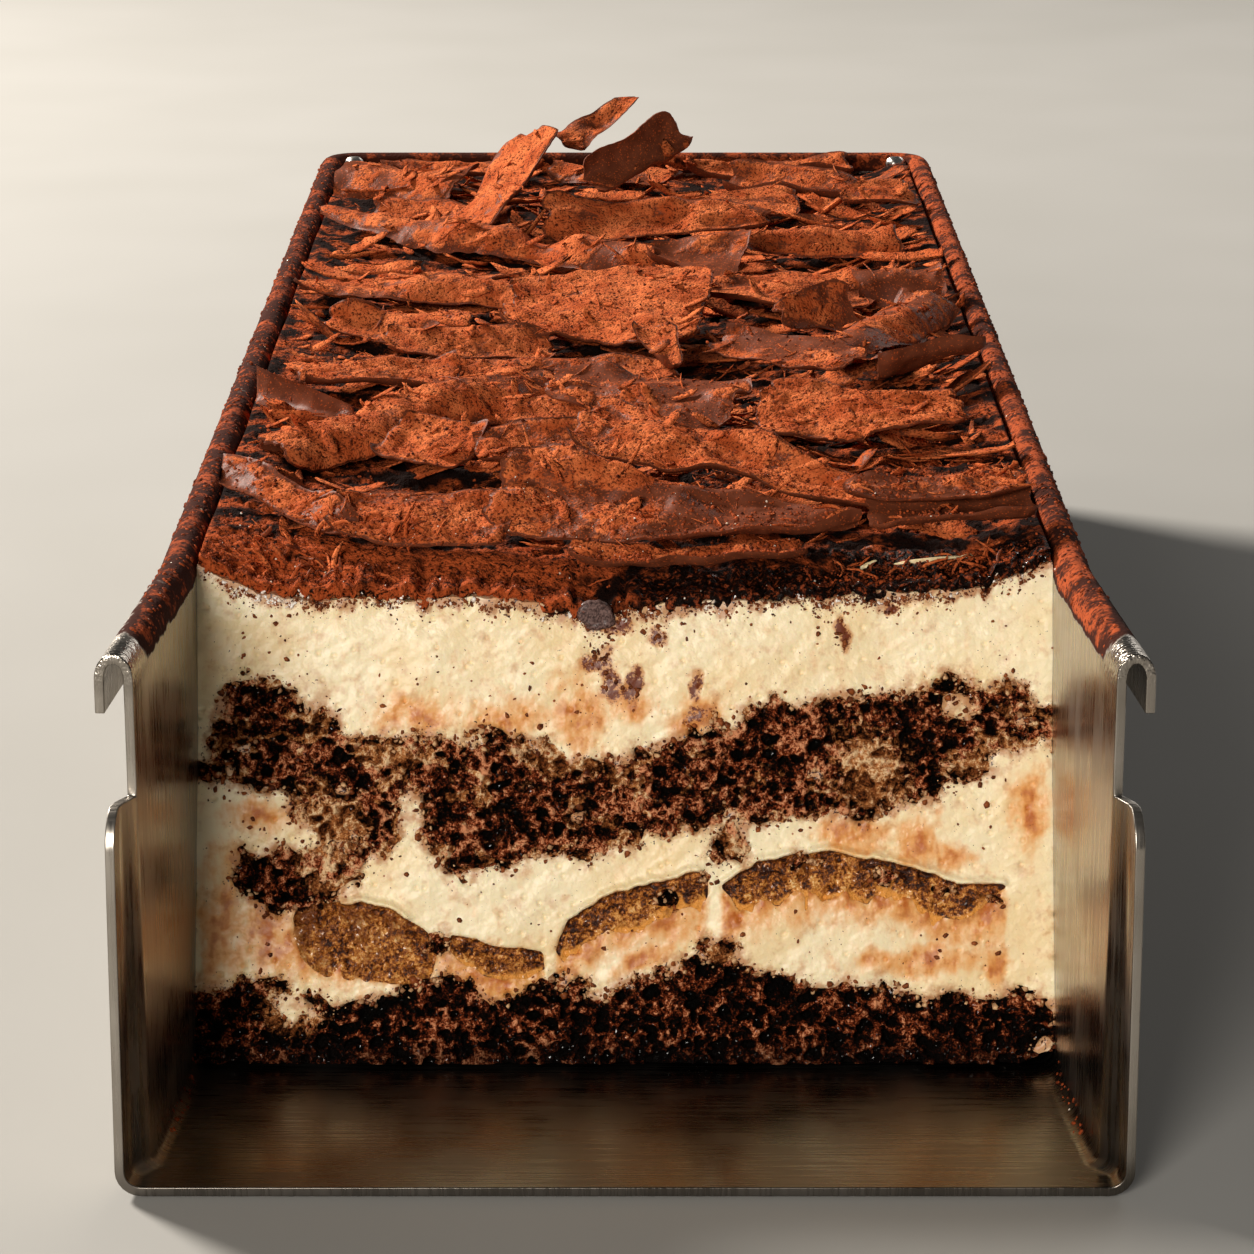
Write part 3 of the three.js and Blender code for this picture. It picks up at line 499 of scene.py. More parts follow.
def template_points(mesh):
    """Corner places and triangles of a small mesh that is copied many times."""
    bm = bmesh.new()
    bm.from_mesh(mesh)
    bmesh.ops.triangulate(bm, faces=bm.faces[:])
    points = np.array([vert.co[:] for vert in bm.verts])
    triangles = np.array(sorted([vert.index for vert in face.verts] for face in bm.faces))
    bm.free()
    return points, triangles


def joined_copies(name, points, triangles, places, turns, sizes, shapes=None):
    """One mesh of many copies. turns are 3 by 3 matrices, sizes scale each copy's own axes."""
    count = len(places)
    local = points[None] * sizes[:, None, :]
    if shapes is not None:
        local = local * shapes[:, :, None]
    moved = np.einsum("nij,nvj->nvi", turns, local) + places[:, None, :]
    index = triangles[None] + (np.arange(count) * len(points))[:, None, None]
    mesh = bpy.data.meshes.new(name)
    mesh.vertices.add(count * len(points))
    mesh.vertices.foreach_set("co", moved.astype(np.float32).ravel())
    mesh.loops.add(index.size)
    mesh.loops.foreach_set("vertex_index", index.astype(np.int32).ravel())
    mesh.polygons.add(count * len(triangles))
    mesh.polygons.foreach_set("loop_start", np.arange(0, index.size, 3, dtype=np.int32))
    mesh.update(calc_edges=True)
    mesh.validate()
    return mesh


def turned(normals, spins, tilts):
    """Matrices that stand each copy on a normal, spin it about that and tilt it."""
    normals = normals / np.linalg.norm(normals, axis=1, keepdims=True)
    nearly_flat = np.full_like(spins, 0.001)
    side = np.cross(normals, np.stack([np.cos(spins), np.sin(spins), nearly_flat], axis=1))
    side /= np.linalg.norm(side, axis=1, keepdims=True)
    ahead = np.cross(side, normals)
    lean = np.cos(tilts)[:, None]
    rise = np.sin(tilts)[:, None]
    up = normals * lean + ahead * rise
    ahead = ahead * lean - normals * rise
    return np.stack([ahead, np.cross(up, ahead), up], axis=2)


# ---------------------------------------------------------------- materials


def colour(red, green, blue):
    """A colour picked on the screen scale of 0 to 255, as Blender wants it."""
    channels = []
    for value in (red, green, blue):
        share = value / 255
        channels.append(share / 12.92 if share <= 0.04045 else ((share + 0.055) / 1.055) ** 2.4)
    return (*channels, 1.0)


class Nodes:
    """The nodes of a material or group, and the sums and masks that they are made of."""

    def __init__(self, tree):
        self.tree = tree

    def feed(self, socket, value):
        """Gives a socket a value or another node's output."""
        if isinstance(value, bpy.types.NodeSocket):
            self.tree.links.new(value, socket)
        else:
            socket.default_value = value

    def add(self, kind, inputs=None, **settings):
        made = self.tree.nodes.new(kind)
        for key, value in settings.items():
            setattr(made, key, value)
        for key, value in (inputs or {}).items():
            self.feed(made.inputs[key], value)
        return made

    def math(self, operation, first, second=0.0):
        return self.add("ShaderNodeMath", {0: first, 1: second}, operation=operation).outputs[0]

    def times(self, first, second):
        """Multiplies two values."""
        return self.math("MULTIPLY", first, second)

    def total(self, *terms):
        """Adds up its terms; a pair is a value and what it is multiplied by."""
        added = None
        for term in terms:
            if isinstance(term, tuple):
                term = self.times(*term)
            added = term if added is None else self.math("ADD", added, term)
        return added

    def blend(self, share, first, second):
        """Mixes two colours; share is how much of the second."""
        mix = self.add("ShaderNodeMix", {0: share, 6: first, 7: second}, data_type="RGBA")
        return mix.outputs[2]

    def choose(self, share, first, second):
        """Mixes two values."""
        return self.add("ShaderNodeMix", {0: share, 2: first, 3: second}, data_type="FLOAT").outputs[0]

    def spread(self, value, low, high, to_low=0.0, to_high=1.0):
        """Maps low..high smoothly to to_low..to_high."""
        inputs = {"Value": value, "From Min": low, "From Max": high, "To Min": to_low, "To Max": to_high}
        return self.add("ShaderNodeMapRange", inputs, interpolation_type="SMOOTHSTEP").outputs[0]

    def noise_at(self, vector, scale, detail, roughness):
        inputs = {"Vector": vector, "Scale": scale, "Detail": detail, "Roughness": roughness}
        return self.add("ShaderNodeTexNoise", inputs).outputs["Fac"]


def granule_group():
    """Powder and crumb: clumps, grains and a mask of the pits between them, which the materials darken as
    painted shade.
    """
    group = bpy.data.node_groups.get("granules")
    if group:
        return group
    group = bpy.data.node_groups.new("granules", "ShaderNodeTree")
    group.interface.new_socket("Vector", in_out="INPUT", socket_type="NodeSocketVector")
    group.interface.new_socket("Grain", in_out="INPUT", socket_type="NodeSocketFloat")
    group.interface.new_socket("Height", in_out="OUTPUT", socket_type="NodeSocketFloat")
    group.interface.new_socket("PitShade", in_out="OUTPUT", socket_type="NodeSocketFloat")
    nodes = Nodes(group)
    start = nodes.add("NodeGroupInput")
    vector = start.outputs["Vector"]
    grain = start.outputs["Grain"]
    clumps = nodes.noise_at(vector, nodes.times(grain, 0.36), 2.0, 0.62)
    fine = nodes.noise_at(vector, grain, 1.0, 0.65)
    height = nodes.total((clumps, 0.75), (fine, 0.5))
    # the pits between the grains, which the materials darken as painted shade
    pits = nodes.spread(nodes.total((clumps, 0.38), (fine, 0.62)), 0.35, 0.52)
    nodes.add("NodeGroupOutput", {"Height": height, "PitShade": pits})
    return group


class Finish(Nodes):
    """A material with only a Principled shader, whose even values are set on its own sockets."""

    def __init__(self, name, **shader_values):
        self.material = bpy.data.materials.new(name)
        self.material.use_nodes = True
        super().__init__(self.material.node_tree)
        self.tree.nodes.clear()
        self.shader = self.add("ShaderNodeBsdfPrincipled")
        for label, value in shader_values.items():
            self.shader.inputs[label.replace("_", " ")].default_value = value
        self.add("ShaderNodeOutputMaterial", {"Surface": self.shader.outputs[0]})
        self.coordinates = self.add("ShaderNodeTexCoord")
        self.place = self.coordinates.outputs["Object"]

    def axis(self, name, output="Object"):
        """How far along X, Y or Z each point lies, or its normal points."""
        split = self.add("ShaderNodeSeparateXYZ", {"Vector": self.coordinates.outputs[output]})
        return split.outputs[name]

    def noise(self, size_mm, detail=3.0, roughness=0.55, stretch=(1.0, 1.0, 1.0)):
        """Noise whose bumps are about size_mm apart, or further along an axis scaled down."""
        vector = self.place
        if stretch != (1.0, 1.0, 1.0):
            vector = self.add("ShaderNodeMapping", {"Vector": self.place, "Scale": stretch}).outputs[0]
        return self.noise_at(vector, 1 / (size_mm * MM), detail, roughness)

    def granules(self, size_mm):
        """Height of powder or crumb with grains of this size, and the mask of its pits for painted shade.
        """
        inputs = {"Vector": self.place, "Grain": 1 / (size_mm * MM)}
        made = self.add("ShaderNodeGroup", inputs, node_tree=granule_group())
        return made.outputs["Height"], made.outputs["PitShade"]

    def value(self, name):
        """What the piece's own mesh says under this name."""
        read = self.add("ShaderNodeAttribute", attribute_name=name, attribute_type="GEOMETRY")
        return read.outputs["Fac"]

    def steps(self, value, *stops):
        """A colour that goes through several tones as the value rises."""
        ramp = self.add("ShaderNodeValToRGB", {"Fac": value})
        band = ramp.color_ramp
        band.elements[0].position, band.elements[0].color = stops[0]
        band.elements[1].position, band.elements[1].color = stops[-1]
        for position, tone in stops[1:-1]:
            band.elements.new(position).color = tone
        return ramp.outputs["Color"]

    def drive(self, label, value):
        self.feed(self.shader.inputs[label], value)

    def bump(self, height, depth_mm):
        """Relief finer than the mesh, as deep as given where the height is 1."""
        made = self.add("ShaderNodeBump", {"Height": height, "Distance": depth_mm * MM, "Strength": 1.0})
        self.drive("Normal", made.outputs["Normal"])


COCOA_ORANGE = colour(174, 79, 38)
COCOA_LIGHT = colour(214, 114, 64)
# colour of the painted shade in the pits between cocoa grains
COCOA_PIT_SHADE = colour(66, 23, 9)
CHOCOLATE_BARE = colour(72, 32, 18)
CHOCOLATE_GREY = colour(128, 68, 44)


def dusted_chocolate(name, grain_mm):
    """Dark chocolate with cocoa on it, where the piece's dust value says so."""
    look = Finish(name, Specular_IOR_Level=0.07)
    height, pits = look.granules(grain_mm)
    dust = look.value("dust")
    amount = look.total(dust, (look.noise(3.2, 2.0, 0.6), 0.5), (height, 0.55))
    cover = look.spread(amount, 0.98, 1.2)
    tone = look.noise(5.0, 2.0, 0.6)
    powder = look.blend(look.spread(tone, 0.35, 0.7), COCOA_ORANGE, COCOA_LIGHT)
    # painted shade: the pits between the cocoa grains are darkened
    powder = look.blend(pits, COCOA_PIT_SHADE, powder)
    specks = look.total(look.noise(0.34, 1.0, 0.6), (dust, 0.12))
    bare = look.blend(look.noise(2.4, 1.0), CHOCOLATE_BARE, CHOCOLATE_GREY)
    bare = look.blend(look.spread(specks, 0.62, 0.7), bare, COCOA_ORANGE)
    look.drive("Base Color", look.blend(cover, bare, powder))
    look.drive("Roughness", look.spread(cover, 0.0, 1.0, 0.5, 0.95))
    look.bump(look.times(height, look.spread(dust, 0.2, 0.7, 0.12, 1.0)), 0.5)
    return look.material


def cocoa_bed_material():
    """Heaped cocoa: dry and orange on top with patches of painted shade, dark and wet at the cut."""
    look = Finish("cocoa_bed", Specular_IOR_Level=0.07, Coat_Roughness=0.12)
    height, pits = look.granules(0.5)
    wet = look.value("wet")
    # tone of the dry cocoa, whose dark end is painted shade standing in for its hollows
    dry_tone_and_shade = look.noise(5.0, 3.0, 0.6)
    dusty = look.total(dry_tone_and_shade, look.math("MAXIMUM", look.times(wet, -0.18), 0.0))
    # painted shade: dark patches over the dry cocoa
    dry = look.blend(look.spread(dusty, 0.45, 0.62), colour(26, 9, 4), COCOA_ORANGE)
    # painted shade: the pits between the cocoa grains are darkened
    dry = look.blend(pits, colour(18, 5, 2), dry)
    grit = look.noise(0.9, 3.0, 0.7)
    soaked = look.blend(look.spread(grit, 0.5, 0.68), colour(16, 5, 2), colour(142, 64, 33))
    mask = look.spread(look.total(wet, (dry_tone_and_shade, -1.1)), -0.2, 0.15)
    look.drive("Base Color", look.blend(mask, dry, soaked))
    look.drive("Roughness", look.spread(mask, 0.0, 1.0, 0.95, 0.55))
    glints = look.spread(look.noise(0.8, 1.0, 0.6), 0.6, 0.68)
    look.drive("Coat Weight", look.times(mask, glints))
    look.bump(look.total(height, grit), 0.6)
    return look.material


def cream_material():
    """Mascarpone cream with coffee stains, painted shade low at the far left, brown smears, crumbs at its
    borders and fine flecks.
    """
    look = Finish(
        "mascarpone_cream", Subsurface_Weight=0.2, Subsurface_Scale=0.0016,
        Subsurface_Radius=(1.0, 0.6, 0.28), Specular_IOR_Level=0.4, Coat_Weight=0.1, Coat_Roughness=0.3,
    )
    soft = look.noise(9.0, 1.0)
    body = look.blend(look.spread(soft, 0.3, 0.7), colour(245, 219, 170), colour(251, 233, 194))
    mottle = look.noise(2.4, 3.0, 0.65)
    grainy = look.noise(0.5, 2.0, 0.7)
    runs = look.noise(1.8, 2.0, 0.6, stretch=(1.0, 1.0, 0.3))
    # coffee stains, and painted shade low at the far left
    stain_and_shade = look.total(
        look.value("stain_and_shade"), look.spread(mottle, 0.2, 0.8, -0.25, 0.25),
        look.spread(runs, 0.25, 0.75, -0.25, 0.25),
    )
    body = look.blend(look.spread(stain_and_shade, 0.0, 1.0, 0.0, 0.85), body, colour(230, 152, 64))
    body = look.blend(look.spread(stain_and_shade, 0.75, 1.3), body, colour(186, 96, 22))
    near_sponge = look.value("smudge")
    smudge = look.total(near_sponge, look.spread(mottle, 0.25, 0.75, -0.3, 0.3))
    body = look.blend(look.spread(smudge, 0.05, 0.6, 0.0, 0.85), body, colour(184, 122, 76))
    crumbs = look.total(grainy, (near_sponge, 0.26))
    body = look.blend(look.spread(crumbs, 0.7, 0.76), body, colour(62, 26, 12))
    smear = look.total((look.value("smear"), 1.5), look.spread(mottle, 0.25, 0.75, -0.6, 0.0))
    body = look.blend(look.spread(smear, 0.0, 0.7, 0.0, 0.8), body, colour(200, 130, 66))
    smear = look.total(smear, look.spread(grainy, 0.3, 0.7, -0.5, 0.3))
    body = look.blend(look.spread(smear, 0.45, 0.9), body, colour(110, 46, 12))
    inputs = {"Vector": look.place, "Scale": 1 / (1.7 * MM)}
    flecks = look.add("ShaderNodeTexVoronoi", inputs, feature="F1")
    near = look.spread(flecks.outputs["Distance"], 0.06, 0.11, 1.0, 0.0)
    chosen = look.times(near, look.math("GREATER_THAN", flecks.outputs["Color"], 0.72))
    chosen = look.times(chosen, look.spread(look.noise(16.0, 1.0), 0.46, 0.62))
    look.drive("Base Color", look.blend(chosen, body, colour(164, 88, 38)))
    look.drive("Roughness", look.spread(mottle, 0.2, 0.8, 0.34, 0.52))
    look.bump(look.noise(1.1, 2.0, 0.5), 0.2)
    return look.material


def dark_sponge_material():
    """Chocolate sponge: open crumb, painted near black in its holes and lighter up its ridges as painted
    shade and light, with moist glints on its ridges.
    """
    look = Finish("chocolate_sponge", Specular_IOR_Level=0.05, Coat_Roughness=0.1)
    coarse = look.noise(1.7, 2.0, 0.6)
    fine = look.noise(0.36, 2.0, 0.72)
    # painted shade and light: the crumb is darker down in its holes and lighter up its ridges
    value = look.total((look.value("ridge"), 0.34), (coarse, 0.4), (fine, 0.62))
    crumb = look.steps(
        value, (0.58, colour(2, 1, 0)), (0.69, colour(16, 5, 2)), (0.75, colour(80, 30, 13)),
        (0.81, colour(140, 62, 28)), (0.89, colour(226, 152, 108)),
    )
    tan_share = look.total(look.value("tan"), look.spread(look.noise(1.0, 3.0, 0.7), 0.3, 0.7, -0.5, 0.5))
    tan = look.steps(
        value, (0.5, colour(30, 11, 4)), (0.64, colour(126, 68, 32)), (0.76, colour(192, 126, 72)),
        (0.86, colour(244, 206, 158)),
    )
    crumb = look.blend(look.spread(tan_share, 0.4, 0.9), crumb, tan)
    moist = look.spread(look.axis("Z"), 2.6 * MM, 6.5 * MM, 1.0, 0.0)
    look.drive("Base Color", look.blend(look.times(moist, 0.7), crumb, colour(6, 2, 1)))
    look.drive("Roughness", look.spread(fine, 0.3, 0.7, 0.5, 0.8))
    glints = look.total(look.noise(0.7, 1.0, 0.6), (moist, 0.05))
    look.drive("Coat Weight", look.spread(glints, 0.65, 0.7, 0.0, 0.7))
    look.bump(look.total(coarse, fine), 0.5)
    return look.material


def soaked_sponge_material():
    """Pale sponge soaked in coffee: a brown crust on top, golden and creamy below, browner near the dark
    sponge, and painted shade that makes it browner towards the left.
    """
    look = Finish("soaked_sponge", Specular_IOR_Level=0.25, Coat_Roughness=0.14)
    patchy = look.noise(3.0, 3.0, 0.66)
    fine = look.noise(0.42, 2.0, 0.7)
    clumpy = look.noise(1.2, 3.0, 0.7)
    runs = look.noise(3.4, 2.0, 0.6, stretch=(1.0, 1.0, 0.35))
    wander = look.total(
        look.spread(patchy, 0.25, 0.75, -0.4, 0.4), look.spread(runs, 0.3, 0.7, -0.45, 0.45),
    )
    value = look.total((clumpy, 0.55), (fine, 0.45), (look.value("crust"), -0.06), (wander, 0.06))
    body = look.steps(
        value, (0.38, colour(42, 14, 3)), (0.45, colour(112, 56, 14)), (0.51, colour(176, 104, 38)),
        (0.58, colour(224, 158, 82)), (0.68, colour(250, 218, 160)),
    )
    creamy = look.total(look.value("creamy"), wander)
    body = look.blend(look.spread(creamy, 0.4, 1.2), body, colour(230, 154, 68))
    # browner near the dark sponge, and painted shade towards the left
    char = look.total(look.value("char"), wander)
    body = look.blend(look.spread(char, 0.3, 1.1, 0.0, 0.75), body, colour(104, 50, 8))
    look.drive("Base Color", body)
    look.drive("Roughness", look.spread(fine, 0.3, 0.7, 0.32, 0.6))
    look.drive("Coat Weight", look.spread(fine, 0.5, 0.62, 0.0, 0.6))
    look.bump(look.total(clumpy, fine), 0.35)
    return look.material


def steel_material():
    """Brushed steel sheet, with cocoa fallen on the rolled rims, and painted shade on the floor and the
    left rim.
    """
    look = Finish("brushed_steel", Specular_IOR_Level=0.1)

    def brushing(across_x, along_y):
        vector = look.add("ShaderNodeMapping", {"Vector": look.place, "Scale": (across_x, along_y, 60.0)})
        return look.noise_at(vector.outputs[0], 1.0, 2.0, 0.7)

    is_rear = look.math("GREATER_THAN", look.math("ABSOLUTE", look.axis("Y", "Normal")), 0.7)
    brushed = look.choose(is_rear, brushing(60.0, 2600.0), brushing(2600.0, 60.0))
    cloud = look.noise(14.0, 2.0, 0.6)
    height, pits = look.granules(0.45)

    # cocoa falls on the rolled rims, less on their outer side and none at their bright front ends; the left
    # rim gets less, so that it shows darker as painted shade
    outer = look.spread(look.math("ABSOLUTE", look.axis("X")), 59.0 * MM, 60.4 * MM)
    high = look.spread(look.axis("Z"), 61.6 * MM, 64.6 * MM)
    behind = look.spread(look.axis("Y"), (FRONT_EDGE + 8) * MM, (FRONT_EDGE + 17) * MM)
    fallen = look.total((look.times(high, behind), 1.1), look.noise(6.0, 3.0, 0.65), (height, 0.3))
    # painted shade: less cocoa on the left rim, which then shows darker
    left = look.spread(look.axis("X"), -0.01, 0.01, -0.1, 0.0)
    fallen = look.total(fallen, (outer, -0.22), left)
    dust = look.spread(fallen, 1.7, 1.86)
    film = look.spread(fallen, 1.36, 1.5)

    metal = look.blend(cloud, colour(138, 130, 119), colour(184, 177, 168))
    # painted shade: the pits in the fallen cocoa are darkened
    powder = look.blend(pits, COCOA_PIT_SHADE, colour(168, 76, 38))
    # painted shade: the steel is darkened on the tin's floor and the foot of its walls
    low = look.spread(look.axis("Z"), 1.5 * MM, 7.0 * MM, 0.42, 1.0)
    metal = look.blend(low, colour(34, 26, 20), metal)
    metal = look.blend(film, metal, colour(58, 23, 11))
    look.drive("Base Color", look.blend(dust, metal, powder))
    look.drive("Metallic", look.math("SUBTRACT", 1.0, film))
    sheen = look.total(
        look.spread(brushed, 0.3, 0.7, 0.2, 0.36), look.spread(cloud, 0.3, 0.7, -0.05, 0.08),
    )
    look.drive("Roughness", look.choose(film, sheen, 0.95))
    look.bump(look.total((brushed, 0.03), (look.times(height, high), 0.8)), 0.3)
    return look.material


def solder_material():
    """Bright drop of solder."""
    look = Finish("solder_drop", Metallic=1.0)
    dull = look.noise(1.2, 3.0)
    look.drive("Base Color", look.blend(dull, colour(226, 222, 216), colour(198, 192, 184)))
    look.drive("Roughness", look.spread(dull, 0.3, 0.7, 0.22, 0.42))
    look.bump(dull, 0.15)
    return look.material


def grain_material(name, dark, light, coat=0.0, roughness=0.9, grain_mm=1.3):
    """Loose grains and crumbs, each a little different."""
    look = Finish(
        name, Coat_Weight=coat, Coat_Roughness=0.15, Roughness=roughness, Specular_IOR_Level=0.12,
    )
    tone = look.spread(look.noise(grain_mm, 2.0, 0.7), 0.3, 0.7)
    look.drive("Base Color", look.blend(tone, dark, light))
    return look.material


# ---------------------------------------------------------------- tin


def wall_half_width(back):
    """Outer face of a side wall; the walls splay out towards the open end."""
    splay = max(0.0, 1 - back / SPRUNG_LENGTH)
    return BODY_HALF_WIDTH + (MOUTH_HALF_WIDTH - BODY_HALF_WIDTH) * splay


def flap_step(back, z):
    """How far the lower flap stands outside the upper wall at the open end."""
    if z > NOTCH_HEIGHT + 0.5:
        return 0.0
    forward = float(smoothstep(UPPER_WALL_BACK - back, -0.5, 3.5))
    share = min(1.0, z / NOTCH_HEIGHT)
    return forward * (FLAP_STEP_FOOT + (FLAP_STEP_TOP - FLAP_STEP_FOOT) * share)


def arc(centre, radii, start, end, steps):
    """Points of an elliptic arc, angles in degrees."""
    angles = [math.radians(start + (end - start) * i / steps) for i in range(steps + 1)]
    return [(centre[0] + radii[0] * math.cos(a), centre[1] + radii[1] * math.sin(a)) for a in angles]


def wall_profile():
    """Middle of the sheet from the floor up and over the lip: outward of the wall, height."""
    half = SHEET / 2
    fold = arc((-FLOOR_BEND, FLOOR_BEND), (FLOOR_BEND - half, FLOOR_BEND - half), -90, 0, 6)
    lip_base = TIN_HEIGHT - LIP_RISE
    lip = arc(((LIP_OUT - SHEET) / 2, lip_base), (LIP_OUT / 2, LIP_RISE - half), 180, 0, 14)
    wall = [(-half, z) for z in (12.0, 24.0, 36.0, 44.3, 46.5, 48.2, NOTCH_HEIGHT)]
    upper = [(-half, z) for z in (NOTCH_HEIGHT + 1, 56.0)]
    return fold + wall + upper + lip + [(LIP_OUT - half, TIN_HEIGHT - LIP_DROP)]


def tin_stations():
    """The wall's route seen from above, as functions of outward distance and height."""
    near = [0.05, 0.4, 1, 1.7, 2.5, 3.3, 4.2, 5, UPPER_WALL_BACK, 7, 8, 10, 14, 20, 28, 36, SPRUNG_LENGTH]
    far = list(np.linspace(SPRUNG_LENGTH, TIN_LENGTH - CORNER_RADIUS, 40))[1:]

    def along(back):
        return lambda out, z: (wall_half_width(back) + flap_step(back, z) + out, back)

    def corner(side, rear):
        middle = BODY_HALF_WIDTH - CORNER_RADIUS
        return lambda out, z: (middle + side * (CORNER_RADIUS + out),
                               TIN_LENGTH - CORNER_RADIUS + rear * (CORNER_RADIUS + out))

    def rear_wall(x):
        return lambda out, z: (x, TIN_LENGTH + out)

    def mirrored(at):
        return lambda out, z: (-at(out, z)[0], at(out, z)[1])

    sides = [along(back) for back in near + far]
    turns = [corner(c, s) for c, s in arc((0, 0), (1, 1), 0, 90, 8)][1:]
    middle = [rear_wall(x) for x in np.linspace(-40, 40, 9)]
    half = sides + turns
    return [mirrored(at) for at in half] + middle + half[::-1], near


def tin_mesh():
    """Folds the sheet: walls and lip from one grid, then the floor between their feet."""
    profile = wall_profile()
    stations, near = tin_stations()
    bm = bmesh.new()
    rows = len(profile)
    bmesh.ops.create_grid(bm, x_segments=rows - 1, y_segments=len(stations) - 1, size=1)
    bm.verts.ensure_lookup_table()
    notch_row = next(k for k, (_, z) in enumerate(profile) if z == NOTCH_HEIGHT)
    notch_station = near.index(UPPER_WALL_BACK)
    last = len(stations) - 1
    level_below = NOTCH_HEIGHT - FLAP_ROUND - 4      # the rows under the flap's round stay level
    for index, vert in enumerate(bm.verts):
        station, row = divmod(index, rows)
        out, z = profile[row]
        x, back = stations[station](out, z)
        rounding = max(0.0, FLAP_ROUND - back)
        top = NOTCH_HEIGHT - FLAP_ROUND + math.sqrt(max(0.0, FLAP_ROUND ** 2 - rounding ** 2))
        if row <= notch_row and z > level_below:
            z = level_below + (z - level_below) * (top - level_below) / (NOTCH_HEIGHT - level_below)
        side = math.copysign(1, x)
        wave = DENT * math.sin(back / DENT_LENGTH + 1.3 * side) * math.sin(math.pi * min(z, 60) / 60)
        if 60 < back < TIN_LENGTH - 20:
            x -= side * abs(wave)
        vert.co = Vector(to_frame(x, back, z))
    cut_away = []
    for index, face in enumerate(bm.faces):
        station, row = divmod(index, rows - 1)
        ahead = station < notch_station or station >= last - notch_station
        if ahead and row >= notch_row:
            cut_away.append(face)
    feet = [bm.verts[station * rows] for station in range(len(stations))]
    front = bm.edges.new((feet[0], feet[-1]))
    edges = [bm.edges.get((a, b)) for a, b in zip(feet, feet[1:])]
    bmesh.ops.delete(bm, geom=cut_away, context="FACES")
    bmesh.ops.contextual_create(bm, geom=edges + [front])
    bmesh.ops.remove_doubles(bm, verts=bm.verts[:], dist=0.01 * MM)
    bmesh.ops.recalc_face_normals(bm, faces=bm.faces[:])
    return mesh_from(bm, "tin_body_sheet")


def make_tin(settings):
    """The sheet tin with its rounded cut edges, and the drops of solder in its back corners."""
    steel = steel_material()
    tin = finish_piece("tin_sheet", tin_mesh(), steel, ["tin_body"])
    thickness = tin.modifiers.new("sheet", "SOLIDIFY")
    thickness.thickness = settings.sheet_thickness
    thickness.offset = 0.0
    thickness.use_even_offset = True
    edge = tin.modifiers.new("edge", "BEVEL")
    edge.width = settings.edge_round
    edge.segments = 2
    edge.limit_method = "ANGLE"
    edge.angle_limit = math.radians(50)
    tin.modifiers.new("flat_faces", "WEIGHTED_NORMAL")
    solder = solder_material()
    for side in ("left", "right"):
        low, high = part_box("corner_bead_" + side)
        bm = ball(4)
        for vert in bm.verts:
            vert.co *= 1 + 0.06 * float(uneven(vert.co.x * 3, vert.co.y * 3, 2)) - 0.06
        bmesh.ops.scale(bm, vec=(high - low) / 2, verts=bm.verts[:])
        bmesh.ops.translate(bm, vec=(high + low) / 2, verts=bm.verts[:])
        name = "solder_drop_" + side
        finish_piece(name, mesh_from(bm, name), solder, ["corner_bead_" + side])


# ---------------------------------------------------------------- cut face


def cocoa_foot(x):
    """Height of the cocoa's foot along the cut."""
    line = np.array(COCOA_FOOT, dtype=float)
    return np.interp(x, line[:, 0], line[:, 1])


def ragged_foot(x):
    """The torn lower edge of the cocoa on the cut face."""
    return cocoa_foot(x) - 0.5 + 1.1 * rough(x / 2.6, 0.0, 101) + 0.8 * rough(x / 0.8, 0.0, 102, 2)


def face_back(z):
    """How far back the leaning cut face is at each height."""
    return FACE_BACK + FACE_LEAN * z / TIN_HEIGHT


FACE_NORMAL = np.array([0.0, -TIN_HEIGHT, FACE_LEAN]) / math.hypot(TIN_HEIGHT, FACE_LEAN)
INWARDS = Vector((0, 1, 0))         # from the cut into the cake


def food_tree():
    """A search tree over the food's solids, and which solid each face belongs to."""
    points = []
    faces = []
    owners = []
    for owner, name in enumerate(FOOD):
        mesh = frame["nodes"][name].data
        start = len(points)
        points.extend(vert.co for vert in mesh.vertices)
        for polygon in mesh.polygons:
            faces.append([start + corner for corner in polygon.vertices])
            owners.append(owner)
    return BVHTree.FromPolygons(points, faces), owners


def cut_labels(tree, owners, x, z):
    """Which food lies at each point of the cut face; -1 where there is none."""
    start_ahead = 3.0
    deepest = 1.2
    labels = np.full(x.shape, -1)
    origins = to_frame(x, face_back(z) - start_ahead, z).reshape(-1, 3)
    flat = labels.reshape(-1)
    reach = (start_ahead + deepest) * MM
    for index, origin in enumerate(origins):
        _, _, face, _ = tree.ray_cast(Vector(origin), INWARDS, reach)
        if face is not None:
            flat[index] = owners[face]
    return flat.reshape(x.shape)


def fill_gaps(labels, passes):
    """Lets each empty cell take a neighbour's label."""
    for _ in range(passes):
        padded = np.pad(labels, 1, constant_values=-1)
        for shift in ((0, 1), (2, 1), (1, 0), (1, 2)):
            beside = padded[shift[0]:shift[0] + labels.shape[0], shift[1]:shift[1] + labels.shape[1]]
            labels = np.where(labels < 0, beside, labels)
    return labels


def is_one_of(labels, names):
    return np.isin(labels, [LABEL[name] for name in names])


